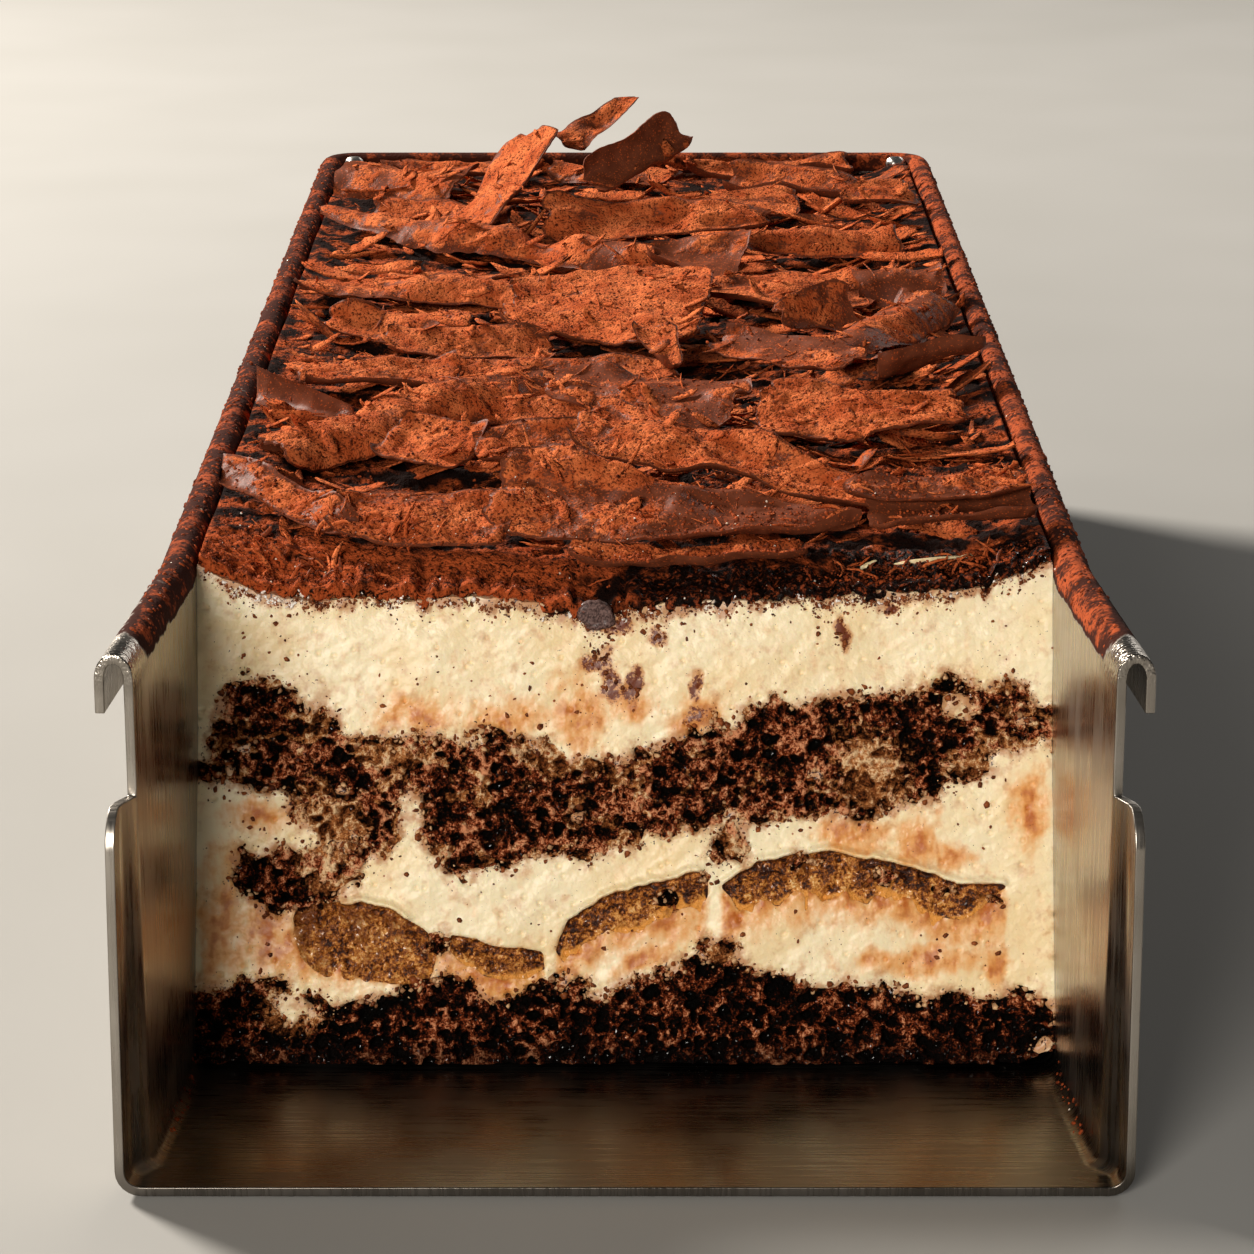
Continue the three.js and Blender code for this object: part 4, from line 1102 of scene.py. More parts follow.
def face_map(cell):
    """Labels of the cut face's cells and the places of its grid points, in mm."""
    columns = int(round(2 * FOOD_HALF_WIDTH / cell))
    rows = int(round((TIN_HEIGHT - FOOD_FLOOR) / cell))
    edge_x = np.linspace(-FOOD_HALF_WIDTH, FOOD_HALF_WIDTH, columns + 1)
    edge_z = np.linspace(FOOD_FLOOR, TIN_HEIGHT, rows + 1)
    x, z = np.meshgrid((edge_x[1:] + edge_x[:-1]) / 2, (edge_z[1:] + edge_z[:-1]) / 2)
    tree, owners = food_tree()

    def looked_up(coarse, fine, seed):
        wander_x = coarse * rough(x / 2.8, z / 2.8, seed)
        wander_x = wander_x + fine * rough(x / 0.9, z / 0.9, seed + 5, 2)
        wander_z = coarse * rough(x / 2.8, z / 2.8, seed + 9)
        wander_z = wander_z + fine * rough(x / 0.9, z / 0.9, seed + 6, 2)
        at_x = np.clip(x + wander_x, -FOOD_HALF_WIDTH + 0.15, FOOD_HALF_WIDTH - 0.15)
        at_z = np.maximum(z + wander_z, np.minimum(z, 1.9))
        return fill_gaps(cut_labels(tree, owners, at_x, at_z), 2)

    # torn borders where the dark sponge is, gentle ones elsewhere
    ragged = looked_up(2.0, 1.5, 11)
    gentle = looked_up(0.7, 0.15, 31)
    crumbly = is_one_of(ragged, DARK_SPONGE) | is_one_of(gentle, DARK_SPONGE)
    labels = np.where(crumbly, ragged, gentle)

    # cream in the sponge and sponge in the cream
    cream = np.where(z > CREAM_BORDER, LABEL["cream_top"], LABEL["cream_lower"])
    cream = np.where((x > 0) & (z < RIGHT_CREAM_BORDER), LABEL["cream_lower"], cream)
    dark = np.where(z > SPONGE_BORDER, LABEL["sponge_middle"], LABEL["sponge_lump"])
    creamy = is_one_of(labels, DARK_SPONGE) & (covered(CREAM_IN_SPONGE, x, z, 51) > 0.5)
    crumby = is_one_of(labels, CREAM + SOAKED_SPONGE) & (covered(SPONGE_IN_CREAM, x, z, 61) > 0.5)
    labels = np.where(creamy, cream, labels)
    labels = np.where(crumby, dark, labels)

    # the right lump rises to the right, and below its crust each lump goes over into cream
    rising = 12 + 0.42 * (x - 30) + 3.4 * smoothstep(x, 38, 50) + 0.8 * rough(x / 3, z / 3, 62)
    tapered = (labels == LABEL["soaked_right"]) & (z < rising) & (x > 30)
    labels = np.where(tapered, LABEL["cream_lower"], labels)
    thickness = 5.0 + 5.0 * smoothstep(-x, 8, 36) + 2.4 * rough(x / 2.2, z / 6, 64)
    for name in SOAKED_SPONGE:
        own = labels == LABEL[name]
        labels = np.where(own & (below_top(own, cell) > thickness), LABEL["cream_lower"], labels)

    # torn bits to both sides of each sponge's border
    sponge = is_one_of(labels, DARK_SPONGE)
    closeness = blurred(sponge, 40)
    torn = rough(x / 1.5, z / 1.5, 63)
    strays = is_one_of(labels, CREAM) & (closeness > 0.1) & (torn > 0.42 - 0.5 * closeness)
    inlets = sponge & (closeness < 0.93) & (torn < -0.42 - 0.35 * closeness + 0.12)
    labels = np.where(strays, np.where(z < BOTTOM_BORDER, LABEL["sponge_bottom"], dark), labels)
    labels = np.where(inlets, cream, labels)
    return labels, edge_x, edge_z


def outline_places(labels, edge_x, edge_z, passes):
    """Grid points, with those on a border between two labels eased into a smooth line."""
    x, z = np.meshgrid(edge_x, edge_z)
    padded = np.pad(labels, 1, constant_values=-1)
    upright = padded[1:-1, 1:] != padded[1:-1, :-1]      # border edges that run up
    level = padded[1:, 1:-1] != padded[:-1, 1:-1]        # border edges that run across
    for _ in range(passes):
        total_x = np.zeros(x.shape)
        total_z = np.zeros(x.shape)
        count = np.zeros(x.shape)
        for edges, lower, upper in (
            (upright, np.s_[:-1, :], np.s_[1:, :]),
            (level, np.s_[:, :-1], np.s_[:, 1:]),
        ):
            for here, there in ((lower, upper), (upper, lower)):
                total_x[here] += edges * x[there]
                total_z[here] += edges * z[there]
                count[here] += edges
        eased = count >= 2
        share = np.where(eased, 0.5, 0.0)
        x = x * (1 - share) + share * total_x / np.maximum(count, 1)
        z = z * (1 - share) + share * total_z / np.maximum(count, 1)
    return x, z


def without_corner_touches(mask):
    """Fills in where two cells touch only at a corner, so that the skin has no pinched points."""
    for _ in range(3):
        a = mask[:-1, :-1]
        b = mask[:-1, 1:]
        c = mask[1:, :-1]
        d = mask[1:, 1:]
        falling = a & d & ~b & ~c
        rising = b & c & ~a & ~d
        if not (falling.any() or rising.any()):
            break
        mask = mask.copy()
        mask[:-1, 1:] |= falling
        mask[:-1, :-1] |= rising
    return mask


def at_corners(cell_values):
    """Values of grid points from those of the cells around them."""
    padded = np.pad(cell_values, 1, mode="edge")
    return (padded[:-1, :-1] + padded[:-1, 1:] + padded[1:, :-1] + padded[1:, 1:]) / 4


def sponge_relief(x, z):
    """Open crumb: lumps, holes and grains. Also says how high each point stands among the ridges, for the
    painted shade in the holes and painted light on the ridges.
    """
    bent_x = x + 0.7 * rough(x / 1.6, z / 1.6, 5)
    bent_z = z + 0.7 * rough(x / 1.6, z / 1.6, 6)
    holes = 1.6 * hollows(bent_x / 2.3, bent_z / 1.6, 3, 0.5, 0.12, 0.45)
    pores = 0.7 * hollows(bent_x / 0.95, bent_z / 0.8, 23, 0.5, 0.12, 0.6)
    lumps = 0.8 * rough(x / 3.0, z / 2.4, 41)
    grains = 0.55 * noise(x / 0.8, z / 0.8, 43) + 0.45 * noise(x / 0.47, z / 0.47, 44)
    height = 1.5 + lumps + grains - holes - pores
    ridge = np.clip((height - 0.2) / 2.1, 0, 1)
    return np.maximum(height, 0.12), ridge


def cream_relief(x, z):
    """Cut cream: slow waves, slanting strokes and small pits."""
    along = 0.83 * x + 0.55 * z
    across = 0.83 * z - 0.55 * x
    waves = 0.45 * rough(x / 8.5, z / 6.0, 71)
    strokes = 0.16 * rough(along / 4.6, across / 1.7, 72)
    grit = 0.03 * noise(x / 0.7, z / 0.7, 73)
    pits = 0.35 * hollows(x / 2.6, z / 2.6, 74, 0.16, 0.05, 0.45)
    return 1.6 + waves + strokes + grit - pits


def soaked_relief(x, z):
    """Soaked sponge: a soft fibrous surface with a few open pores."""
    fibre = 0.3 * rough(x / 2.2, z / 1.1, 81)
    grit = 0.3 * noise(x / 0.6, z / 0.6, 82)
    pores = 0.5 * hollows(x / 1.8, z / 1.3, 83, 0.3, 0.08, 0.4)
    return 1.45 + 0.5 * rough(x / 5, z / 4, 84) + fibre + grit - pores


def below_top(mask, cell):
    """How far below the top of a lump each cell lies, in mm; negative above it."""
    rows = np.arange(mask.shape[0])[:, None]
    top = np.where(mask, rows, -1).max(axis=0)
    return np.where(top >= 0, (top - rows) * cell, 99.0)


def skin_patch(name, mask, x, z, height, values, depth):
    """Skin of one food on the cut face, closed behind: cells in the mask, raised by height."""
    rows = np.flatnonzero(mask.any(axis=1))
    columns = np.flatnonzero(mask.any(axis=0))
    low, high = rows[0], rows[-1] + 1
    left, right = columns[0], columns[-1] + 1
    inside = np.s_[low:high + 1, left:right + 1]
    x, z, height = x[inside], z[inside], height[inside]
    bm = bmesh.new()
    bmesh.ops.create_grid(bm, x_segments=right - left, y_segments=high - low, size=1)
    points = to_frame(x, face_back(z), z) + height[..., None] * FACE_NORMAL * MM
    place_corners(bm, points.reshape(-1, 3))
    store_values(bm, {key: value[inside] for key, value in values.items()})
    mask = mask[low:high, left:right]
    dropped = [face for face, kept in zip(bm.faces, mask.ravel()) if not kept]
    bmesh.ops.delete(bm, geom=dropped, context="FACES")
    bmesh.ops.reverse_faces(bm, faces=bm.faces[:])
    rim = [edge for edge in bm.edges if edge.is_boundary]
    for edge in rim:
        edge.smooth = False
    room = FOOD_HALF_WIDTH * MM
    for vert in pulled_corners(bmesh.ops.extrude_edge_only(bm, edges=rim)):
        vert.co.y = (face_back(vert.co.z / MM) + depth + FRONT_EDGE) * MM
        vert.co.x = max(-room, min(room, vert.co.x))
    return closed_off(bm, name, (0, 1, 0))


def around_lumps(labels, cell):
    """How deep each cell lies in a soaked lump, and the cream's lips, drips and bands around them."""
    cream = is_one_of(labels, CREAM)
    depth = np.full(labels.shape, 99.0)
    lip = np.zeros(labels.shape)
    drip = np.zeros(labels.shape)
    above = np.zeros(labels.shape)
    for name in SOAKED_SPONGE:
        own = labels == LABEL[name]
        under = below_top(own, cell)
        depth = np.where(own, under, depth)
        drip = np.maximum(drip, (under > 0) * (1 - smoothstep(under, 4, 12)))
        above = np.maximum(above, (under < 0) & (under > -4))
        lip = np.maximum(lip, smoothstep(under, -1.1, -0.2) * (under < 0) * cream)
    return depth, lip, drip, above


def make_cut_face(settings):
    """A finely modelled skin for each food that shows at the cut."""
    cell = settings.cell / MM
    labels, edge_x, edge_z = face_map(cell)
    x, z = outline_places(labels, edge_x, edge_z, 5)
    sponge = is_one_of(labels, DARK_SPONGE)
    soaked = is_one_of(labels, SOAKED_SPONGE)
    cream = is_one_of(labels, CREAM)
    depth, lip, drip, above = around_lumps(labels, cell)

    # how far each point stands out, softened where foods meet
    lip = blurred(lip, 1) * (z[1:, 1:] > BOTTOM_BORDER)
    crust = np.where(soaked, 1 - smoothstep(depth, 0.3, 2.4), 0)
    sponge_height, ridge = sponge_relief(x, z)
    heights = (sponge_height, cream_relief(x, z) + 1.2 * at_corners(lip),
               soaked_relief(x, z) - 0.9 * at_corners(blurred(crust, 1)))
    soft = ((sponge, 2), (cream, 10), (soaked, 10))
    weights = [at_corners(blurred(mask, passes)) for mask, passes in soft]
    total = np.maximum(sum(weights), 0.001)
    height = np.maximum(sum(weight * tall for weight, tall in zip(weights, heights)) / total, 0.1)

    # the skins reach the tin's walls, so that no gap shows beside them
    wall = np.interp(face_back(z) - 2, (0, SPRUNG_LENGTH), (MOUTH_HALF_WIDTH, BODY_HALF_WIDTH)) - SHEET
    out = smoothstep(np.abs(x), FOOD_HALF_WIDTH - 3, FOOD_HALF_WIDTH) * (wall - 0.02 - FOOD_HALF_WIDTH)
    reach_x = x + np.sign(x) * out

    # what the materials read
    near_sponge = at_corners(blurred(sponge, 70))
    near_soaked = at_corners(blurred(soaked, 30))
    near_cream = at_corners(blurred(cream | soaked, 40))
    # how far to the left; the soaked lumps are painted in shade there, less milky and browner, with less
    # crust
    left_shade_share = smoothstep(-x, 8, 40)
    upper = smoothstep(z, 22, 28)
    veined = smoothstep(rough(x / 12, z / 8, 96), -0.35, 0.1) * upper
    veins = (1 - smoothstep(np.abs(rough(x / 5, z / 3.4, 95)), 0.03, 0.16)) * veined
    tan = np.maximum(covered(TAN_CRUMB, x, z, 93, 0.3, 1.5), 0.9 * near_cream) + 0.1 * upper
    # coffee stains, and painted shade in the patches low at the far left
    gold_and_shade = np.maximum(covered(GOLD_STAIN_AND_SHADE, x, z, 91, 0.1, 1.7), at_corners(blurred(drip, 8)))
    aside = 1.7 * near_soaked * (1 - at_corners(blurred(above, 4)))
    below_cocoa = 1 - smoothstep(ragged_foot(x) - z, 0.0, 1.3)
    torn = rough(edge_x[1:] / 5, depth / 6, 99)
    crusty = 1 - smoothstep(depth + 2.4 * torn, 0.6, 4.4)
    margin = 1 - smoothstep(blurred(soaked, 60), 0.5, 0.85)
    milky = np.maximum(0.6 * smoothstep(depth, 2.8, 7.0), 1.6 * margin * smoothstep(depth, 1.0, 3.0))
    values = {
        "cream": {
            "stain_and_shade": np.maximum(gold_and_shade, aside),
            "smear": covered(BROWN_SMEAR, x, z, 92, 0.1, 1.5),
            "smudge": np.maximum(near_sponge, 0.5 * below_cocoa),
        },
        "dark_sponge": {
            # painted shade in the holes and light on the ridges, and a lighter tone in the upper sponge
            "ridge": ridge + 0.14 * upper,
            "tan": np.maximum(tan, veins),
        },
        "soaked_sponge": {
            "crust": at_corners(np.where(soaked, crusty, 0)) * (1 - 0.4 * left_shade_share),
            "creamy": at_corners(np.where(soaked, milky, 0)) * (1 - 0.6 * left_shade_share),
            "char": np.clip(0.55 * left_shade_share + 1.2 * near_sponge, 0, 1),
        },
    }
    skins = (
        ("dark_sponge", DARK_SPONGE, dark_sponge_material()),
        ("soaked_sponge", SOAKED_SPONGE, soaked_sponge_material()),
        ("cream", CREAM, cream_material()),
    )
    for slot, names, material in skins:
        for name in names:
            mask = without_corner_touches(labels == LABEL[name])
            mesh = skin_patch("cut_" + name, mask, reach_x, z, height, values[slot], settings.depth / MM)
            finish_piece("cut_" + name, mesh, material)
            solid = frame["nodes"][name].data
            solid.materials.clear()
            solid.materials.append(material)


# ---------------------------------------------------------------- cocoa bed


def top_height(x, back):
    """Height of the cocoa: banked up against the walls, sunk at the back."""
    bank = 2.6 * (np.abs(x) / FOOD_HALF_WIDTH) ** 4
    dip = 1.2 * np.exp(-(((back - 55) / 16) ** 2)) * np.cos(x / FOOD_HALF_WIDTH * (math.pi / 2))
    sunk = smoothstep(back, 290, FOOD_BACK)
    return 64 + bank * (1 - 0.7 * sunk) - dip - 1.6 * sunk + 0.5 * uneven(x / 9, back / 13, 4)


def make_cocoa_bed(settings):
    """Heaped cocoa from its ragged foot on the cut face back to the rear wall."""
    columns = settings.bed_columns
    front_rows = 14
    top_rows = settings.bed_rows
    bm = bmesh.new()
    bmesh.ops.create_grid(bm, x_segments=columns, y_segments=front_rows + top_rows, size=1)
    row, column = np.divmod(np.arange(len(bm.verts)), columns + 1)
    x = -FOOD_HALF_WIDTH + 2 * FOOD_HALF_WIDTH * column / columns
    up = np.clip(row / front_rows, 0, 1)
    along = np.clip((row - front_rows) / top_rows, 0, 1)
    face_top = face_back(TIN_HEIGHT - 2)
    back = face_top + (FOOD_BACK - face_top) * (0.42 * along + 0.58 * along ** 2.3)
    level = np.maximum(top_height(x, back), cocoa_foot(x) + 1)
    level = np.minimum(level, TIN_HEIGHT - 0.4)
    foot = ragged_foot(x)
    rounding = smoothstep(back - face_top, -2, 11)
    level = foot + 2.2 + (level - foot - 2.2) * rounding
    front_z = foot + (level - foot) * up ** 0.9
    z = np.where(row < front_rows, front_z, level)
    back = np.where(row < front_rows, face_back(front_z), back)

    # heaps, clumps and holes on top
    near = np.exp(-np.maximum(back - face_top, 0) / 60)
    clumps = 0.45 * rough(x / 2.6, back / 2.6, 103)
    crumbs = 0.22 * noise(x / 0.9, back / 0.9, 104) + 0.16 * noise(x / 0.45, back / 0.45, 105)
    holes = 0.55 * hollows(x / 1.7, back / 1.7, 106, 0.4, 0.1, 0.35)
    ridges = 1.2 * rough(x / 9, back / 4, 107)
    lift = ridges + (clumps + crumbs - holes) * (0.55 + 0.45 * near)

    # grit that stands out of the face, none at its foot
    on_face = 1 - smoothstep(row, front_rows - 3, front_rows + 4)
    face_u = x / 0.8
    face_v = front_z / 0.8
    proud = 1.6 + 0.7 * rough(x / 2.0, front_z / 1.6, 108) + 0.5 * noise(face_u, face_v, 109)
    proud = proud + 0.35 * noise(face_u * 1.8, face_v * 1.8, 112)
    proud = proud - 1.1 * hollows(x / 1.3, front_z / 1.1, 110, 0.4, 0.1)
    proud = proud * smoothstep(up, -0.05, 0.35)

    wall_room = np.clip((FOOD_HALF_WIDTH - np.abs(x)) / 1.5, 0, 1)
    z = z + lift * (1 - on_face) * wall_room
    z = np.minimum(z, TIN_HEIGHT - 0.2)
    back = back - proud * on_face
    z = z + 0.25 * proud * on_face * (up > 0.5)
    place_corners(bm, to_frame(x, back, z))
    distance = np.maximum(back - face_top, 0)
    wetness = 1 - smoothstep(distance + 3.5 * rough(x / 5, back / 4, 111), 3.0, 12.0)
    dry_left = smoothstep(-x, -8, 14) * smoothstep(up, 0.15, 0.5) * (1 - smoothstep(distance, 5, 14))
    store_values(bm, {"wet": np.clip(wetness - 2 * dry_left, -1, 1)})
    underside = min(height for _, height in COCOA_FOOT) - 1.0
    tucked_in = 2.5
    rim = [edge for edge in bm.edges if edge.is_boundary]
    for vert in pulled_corners(bmesh.ops.extrude_edge_only(bm, edges=rim)):
        vert.co.z = underside * MM
        if vert.co.y < (face_top + FRONT_EDGE) * MM:
            vert.co.y += tucked_in * MM
    mesh = closed_off(bm, "cocoa_bed", (0, 0, -1))
    finish_piece("cocoa_bed", mesh, cocoa_bed_material(), ["cocoa_top"])


# ---------------------------------------------------------------- chocolate shavings


def cell_size(back):
    """Mesh cells grow towards the back, where the view gets coarser."""
    return float(np.interp(back, (60, 100, 180, 320), (0.34, 0.42, 0.62, 0.85)))


def shaving_mesh(spec, seed):
    """One shaving: a thin ragged sheet of chocolate, bent, with cocoa lying on it."""
    length, width = spec.size
    cell = cell_size(spec.at[1])
    columns = max(12, int(length / cell))
    rows = max(10, int(width / cell))
    mesh = closed_sheet("shaving_" + spec.name, columns, rows)
    base = mesh_points(mesh)
    along, across, side = base[:, 0], base[:, 1], base[:, 2]
    bend = math.radians(spec.bend if abs(spec.bend) >= 2 else 2)
    radius = width / bend
    u = along * length / 2
    v = across * width / 2
    top = side > 0

    # its torn outline
    left_end, right_end = spec.taper
    outline = left_end + (right_end - left_end) * (along + 1) / 2
    bulge = np.where(across < 0, spec.belly * (1 - along ** 2), 0)
    share = outline * (1 + 0.08 * uneven(along * 3, across, seed)) + bulge
    edge = np.sign(across)
    end = np.sign(along)
    torn = 0.06 * rough(u / 4.5, edge * 7 + seed, seed + 3)
    torn = torn + 0.022 * noise(u / 0.9, edge * 5 + seed, seed + 4)
    share = share * (1 + torn * np.abs(across) ** 3)
    swell = 1 + 0.16 * rough(u / 11, edge * 9 + seed, seed + 21, 2)
    share = share * (1 - 0.3 * np.abs(along) ** 9) * swell
    angle = across * bend / 2 * share
    ragged = 1 + 0.04 * uneven(across * 3, along, seed + 5)
    tip = 0.04 * rough(v / 3.4, end * 3 + seed, seed + 6)
    tip = tip + 0.014 * noise(v / 0.8, end * 4 + seed, seed + 7)
    x = u * (ragged + tip * np.abs(along) ** 6)

    # buckles, knife strokes and thin edges
    buckle = (0.5 + 0.03 * length) * rough(u / 10, v / 8, seed + 8, 2)
    buckle = buckle + 0.3 * rough(u / 3.4, v / 6, seed + 9, 2)
    strokes = 0.05 * noise(u / 0.9, v / 9, seed + 10)
    edge_near = np.minimum((1 - np.abs(along)) * length, (1 - np.abs(across)) * width) / 2
    thickness = spec.thick * (0.4 + 0.7 * smoothstep(edge_near, 0, 1.6))
    curled_edge = np.abs(across) ** 3 * (0.5 + rough(u / 8, edge * 3 + seed, seed + 22, 2))
    curled_end = 0.4 + rough(v / 6, end * 3 + seed, seed + 23, 2)
    curled_edge = curled_edge + np.abs(along) ** 5 * curled_end
    front_lip = 0.6 * np.maximum(-across, 0) ** 5

    # cocoa on its upper side
    patches = 0.7 * rough(u / 6.5, v / 4.5, seed + 11) + 0.35 * rough(u / 1.6, v / 1.6, seed + 12)
    dust = spec.dust - 0.08 - spec.barer * smoothstep(along, -0.35, 0.25) + 0.85 * patches
    dust = dust * (0.2 + 0.8 * smoothstep(edge_near, 0.1, 0.6))
    dust = np.where(top, np.clip(dust, 0, 1), 0.0)
    clumps = 0.3 + 0.4 * rough(u / 1.5, v / 1.5, seed + 13) + 0.3 * noise(u / 0.6, v / 0.6, seed + 14)
    powder = np.where(top, 0.55 * smoothstep(dust, 0.3, 0.8) * clumps, 0.0)
    pits = 0.35 * hollows(u / 1.3, v / 1.3, seed + 15, 0.35, 0.1, 0.3) * dust
    powder = powder - np.where(top, pits, 0)

    # bent across, twisted along and laid in its place
    lift = side * thickness / 2 + buckle + strokes + powder + 1.3 * curled_edge + front_lip
    y = (radius + lift) * np.sin(angle)
    z = (radius + lift) * np.cos(angle) - radius + spec.crown * (1 - along ** 2)
    twist = math.radians(9) * along * math.sin(seed * 1.7)
    y, z = y * np.cos(twist) - z * np.sin(twist), z * np.cos(twist) + y * np.sin(twist)
    turn = Euler((math.radians(spec.roll), math.radians(-spec.pitch), math.radians(spec.turn)), "XYZ")
    matrix = np.array(turn.to_matrix())
    local = np.stack([x, y, z], axis=1) @ matrix.T
    place = local + np.array(spec.at, dtype=float) + np.array((0, 0, SHAVING_LIFT))
    room = FOOD_HALF_WIDTH - SIDE_GAP
    place[:, 0] = np.clip(place[:, 0], -room, room)
    place[:, 1] = np.clip(place[:, 1], 0, FOOD_BACK - BACK_GAP)
    place[:, 2] = np.minimum(place[:, 2], CAD_BOX[1].z / MM - BOX_GAP)
    set_points(mesh, to_frame(place[:, 0], place[:, 1], place[:, 2]))
    add_value(mesh, "dust", dust)
    return mesh


def make_shavings(settings):
    """All the shavings, each in the place of its node."""
    material = dusted_chocolate("dusted_chocolate", settings.grain / MM)
    for seed, spec in enumerate(SHEETS):
        mesh = shaving_mesh(spec, 200 + 20 * seed)
        finish_piece("choc_" + spec.name, mesh, material, ["shaving_" + spec.name])
        mesh.set_sharp_from_angle(angle=math.radians(50))


# ---------------------------------------------------------------- loose bits


def surface_tree(names):
    """A search tree over finished pieces, and which of them each of its faces belongs to."""
    points = []
    faces = []
    owners = []
    for name in names:
        mesh = bpy.data.objects[name].data
        start = len(points)
        points.extend(vert.co for vert in mesh.vertices)
        # sorted, because bmesh gives faces in an order that changes from run to run
        faces.extend(sorted([start + corner for corner in polygon.vertices] for polygon in mesh.polygons))
        owners.extend([name] * len(mesh.polygons))
    return BVHTree.FromPolygons(points, faces), owners


def dropped_on(tree, x, back):
    """Where things let fall at (x, back) come to lie, with the surface's normal there."""
    places = []
    normals = []
    down = Vector((0, 0, -1))
    for point in to_frame(x, back, np.zeros_like(x)):
        hit, normal, _, _ = tree.ray_cast(Vector((point[0], point[1], DROP_HEIGHT)), down, DROP_HEIGHT)
        if hit is not None:
            places.append(hit[:])
            normals.append(normal[:] if normal.z > 0 else (-normal)[:])
    return np.array(places), np.array(normals)


def flake_template(columns, curl, cup):
    """A small flake of chocolate, pointed at its ends, curled along and cupped across."""
    mesh = closed_sheet("flake", columns, 2)
    points = mesh_points(mesh)
    along = points[:, 0].copy()
    points[:, 1] *= 1 - 0.6 * np.abs(along) ** 3
    points[:, 2] = 0.5 * points[:, 2] + curl * along ** 2 + cup * points[:, 1] ** 2
    set_points(mesh, points)
    return template_points(mesh)


def thread_template(bow):
    """A thin curved thread of chocolate, pinched at both ends."""
    bm = bmesh.new()
    bmesh.ops.create_cone(bm, cap_ends=True, segments=5, radius1=1, radius2=1, depth=2)
    uprights = [edge for edge in bm.edges if abs(edge.verts[0].co.z - edge.verts[1].co.z) > 1]
    bmesh.ops.subdivide_edges(bm, edges=uprights, cuts=5, use_grid_fill=False)
    mesh = mesh_from(bm, "thread")
    points = mesh_points(mesh)
    along = points[:, 2].copy()
    slim = 1 - 0.75 * np.abs(along) ** 4
    wavy = np.sin(along * 4) * 0.25
    bowed = points[:, 1] * slim + bow * (1 - along ** 2) + wavy
    set_points(mesh, np.stack([along, bowed, points[:, 0] * slim], axis=1))
    return template_points(mesh)


def scatter_piece(kind, template, tree, amount, material):
    """Drops many small copies of a template on the cake, as the kind says."""
    random = np.random.default_rng(kind.seed)
    inner, outer, nearest, farthest, fall_off = kind.area
    count = int(kind.count * amount)
    x = random.uniform(inner, outer, count) * np.where(random.random(count) < 0.5, -1, 1)
    back = nearest + (farthest - nearest) * random.random(count) ** fall_off
    gathered = rough(x / 9, back / 7, kind.seed) + 0.9 * random.random(count) > kind.gather
    places, normals = dropped_on(tree, x[gathered], back[gathered])
    landed = len(places)
    scale = kind.least + (1 - kind.least) * random.random((landed, 1)) ** 2
    each = 1 + 0.5 * (random.random((landed, 3)) - 0.5)
    sizes = np.array(kind.size) * MM * scale * each
    swing = math.radians(kind.swing)
    tilt = math.radians(kind.tilt)
    turns = turned(normals, random.uniform(-swing, swing, landed), random.uniform(-tilt, tilt, landed))
    places = places + turns[:, :, 2] * (sizes[:, 2:3] * kind.sit + kind.above * MM)
    points, triangles = template
    shapes = 1 + 0.22 * (random.random((landed, len(points))) - 0.5) * kind.lumpy
    mesh = joined_copies(kind.name, points, triangles, places, turns, sizes, shapes)
    room = np.array([CAD_BOX[1].x - BOX_GAP * MM, CAD_BOX[1].y, CAD_BOX[1].z - BOX_GAP * MM])
    if inner < FOOD_HALF_WIDTH:
        room[0] = (FOOD_HALF_WIDTH - BOX_GAP) * MM
    set_points(mesh, np.clip(mesh_points(mesh), -room, room))
    if kind.dust:
        dusty = np.repeat(0.35 + 0.65 * random.random(landed), len(points)) * kind.dust
        add_value(mesh, "dust", np.clip(dusty, 0, 1))
    finish_piece(kind.name, mesh, material)


def make_loose_bits(settings):
    """Slivers, flakes, threads and grains that lie on the cocoa, the shavings and the rims."""
    looks = {
        "chocolate": bpy.data.materials["dusted_chocolate"],
        "powder": grain_material("cocoa_grain", colour(58, 20, 8), COCOA_ORANGE),
        "sugar": grain_material("sugar_grain", colour(206, 176, 146), colour(250, 240, 226), 0.3, 0.5),
    }
    surfaces = {
        "bed": surface_tree(["cocoa_bed"])[0],
        "top": surface_tree(["cocoa_bed"] + ["choc_" + spec.name for spec in SHEETS])[0],
        "rim": surface_tree(["tin_sheet"])[0],
    }
    templates = {
        "sliver": flake_template(8, 2.6, 2.0),
        "flake": flake_template(4, 1.4, 0.8),
        "thread": thread_template(2.6),
        "strand": thread_template(2.2),
        "pebble": template_points(mesh_from(ball(1), "pebble")),
    }
    for kind in SCATTERED:
        shape = templates[kind.shape]
        scatter_piece(kind, shape, surfaces[kind.surface], settings.amount, looks[kind.look])


def shown_at_cut(surface, x, z):
    """Where each point (x, z) lies on the cut face, and which piece shows there."""
    tree, owners = surface
    start_ahead = 5
    reach = 9
    places = np.zeros((len(x), 3))
    shown = []
    for index, point in enumerate(to_frame(x, face_back(z) - start_ahead, z)):
        hit, _, face, _ = tree.ray_cast(Vector(point), INWARDS, reach * MM)
        shown.append("" if hit is None else owners[face])
        if hit is not None:
            places[index] = hit
    return places, np.array(shown)


def crumb_piece(name, places, sizes, random, material):
    """Angular crumbs stuck to the cut face."""
    count = len(places)
    normals = np.repeat(FACE_NORMAL[None], count, axis=0) + 0.01
    turns = turned(normals, random.uniform(0, 6.28, count), random.uniform(-1.2, 1.2, count))
    stretched = sizes[:, None] * MM * (0.55 + 0.9 * random.random((count, 3)))
    points, triangles = template_points(mesh_from(ball(1), "pebble"))
    shapes = 1 + 0.8 * (random.random((count, len(points))) - 0.5)
    mesh = joined_copies(name, points, triangles, places, turns, stretched, shapes)
    finish_piece(name, mesh, material)


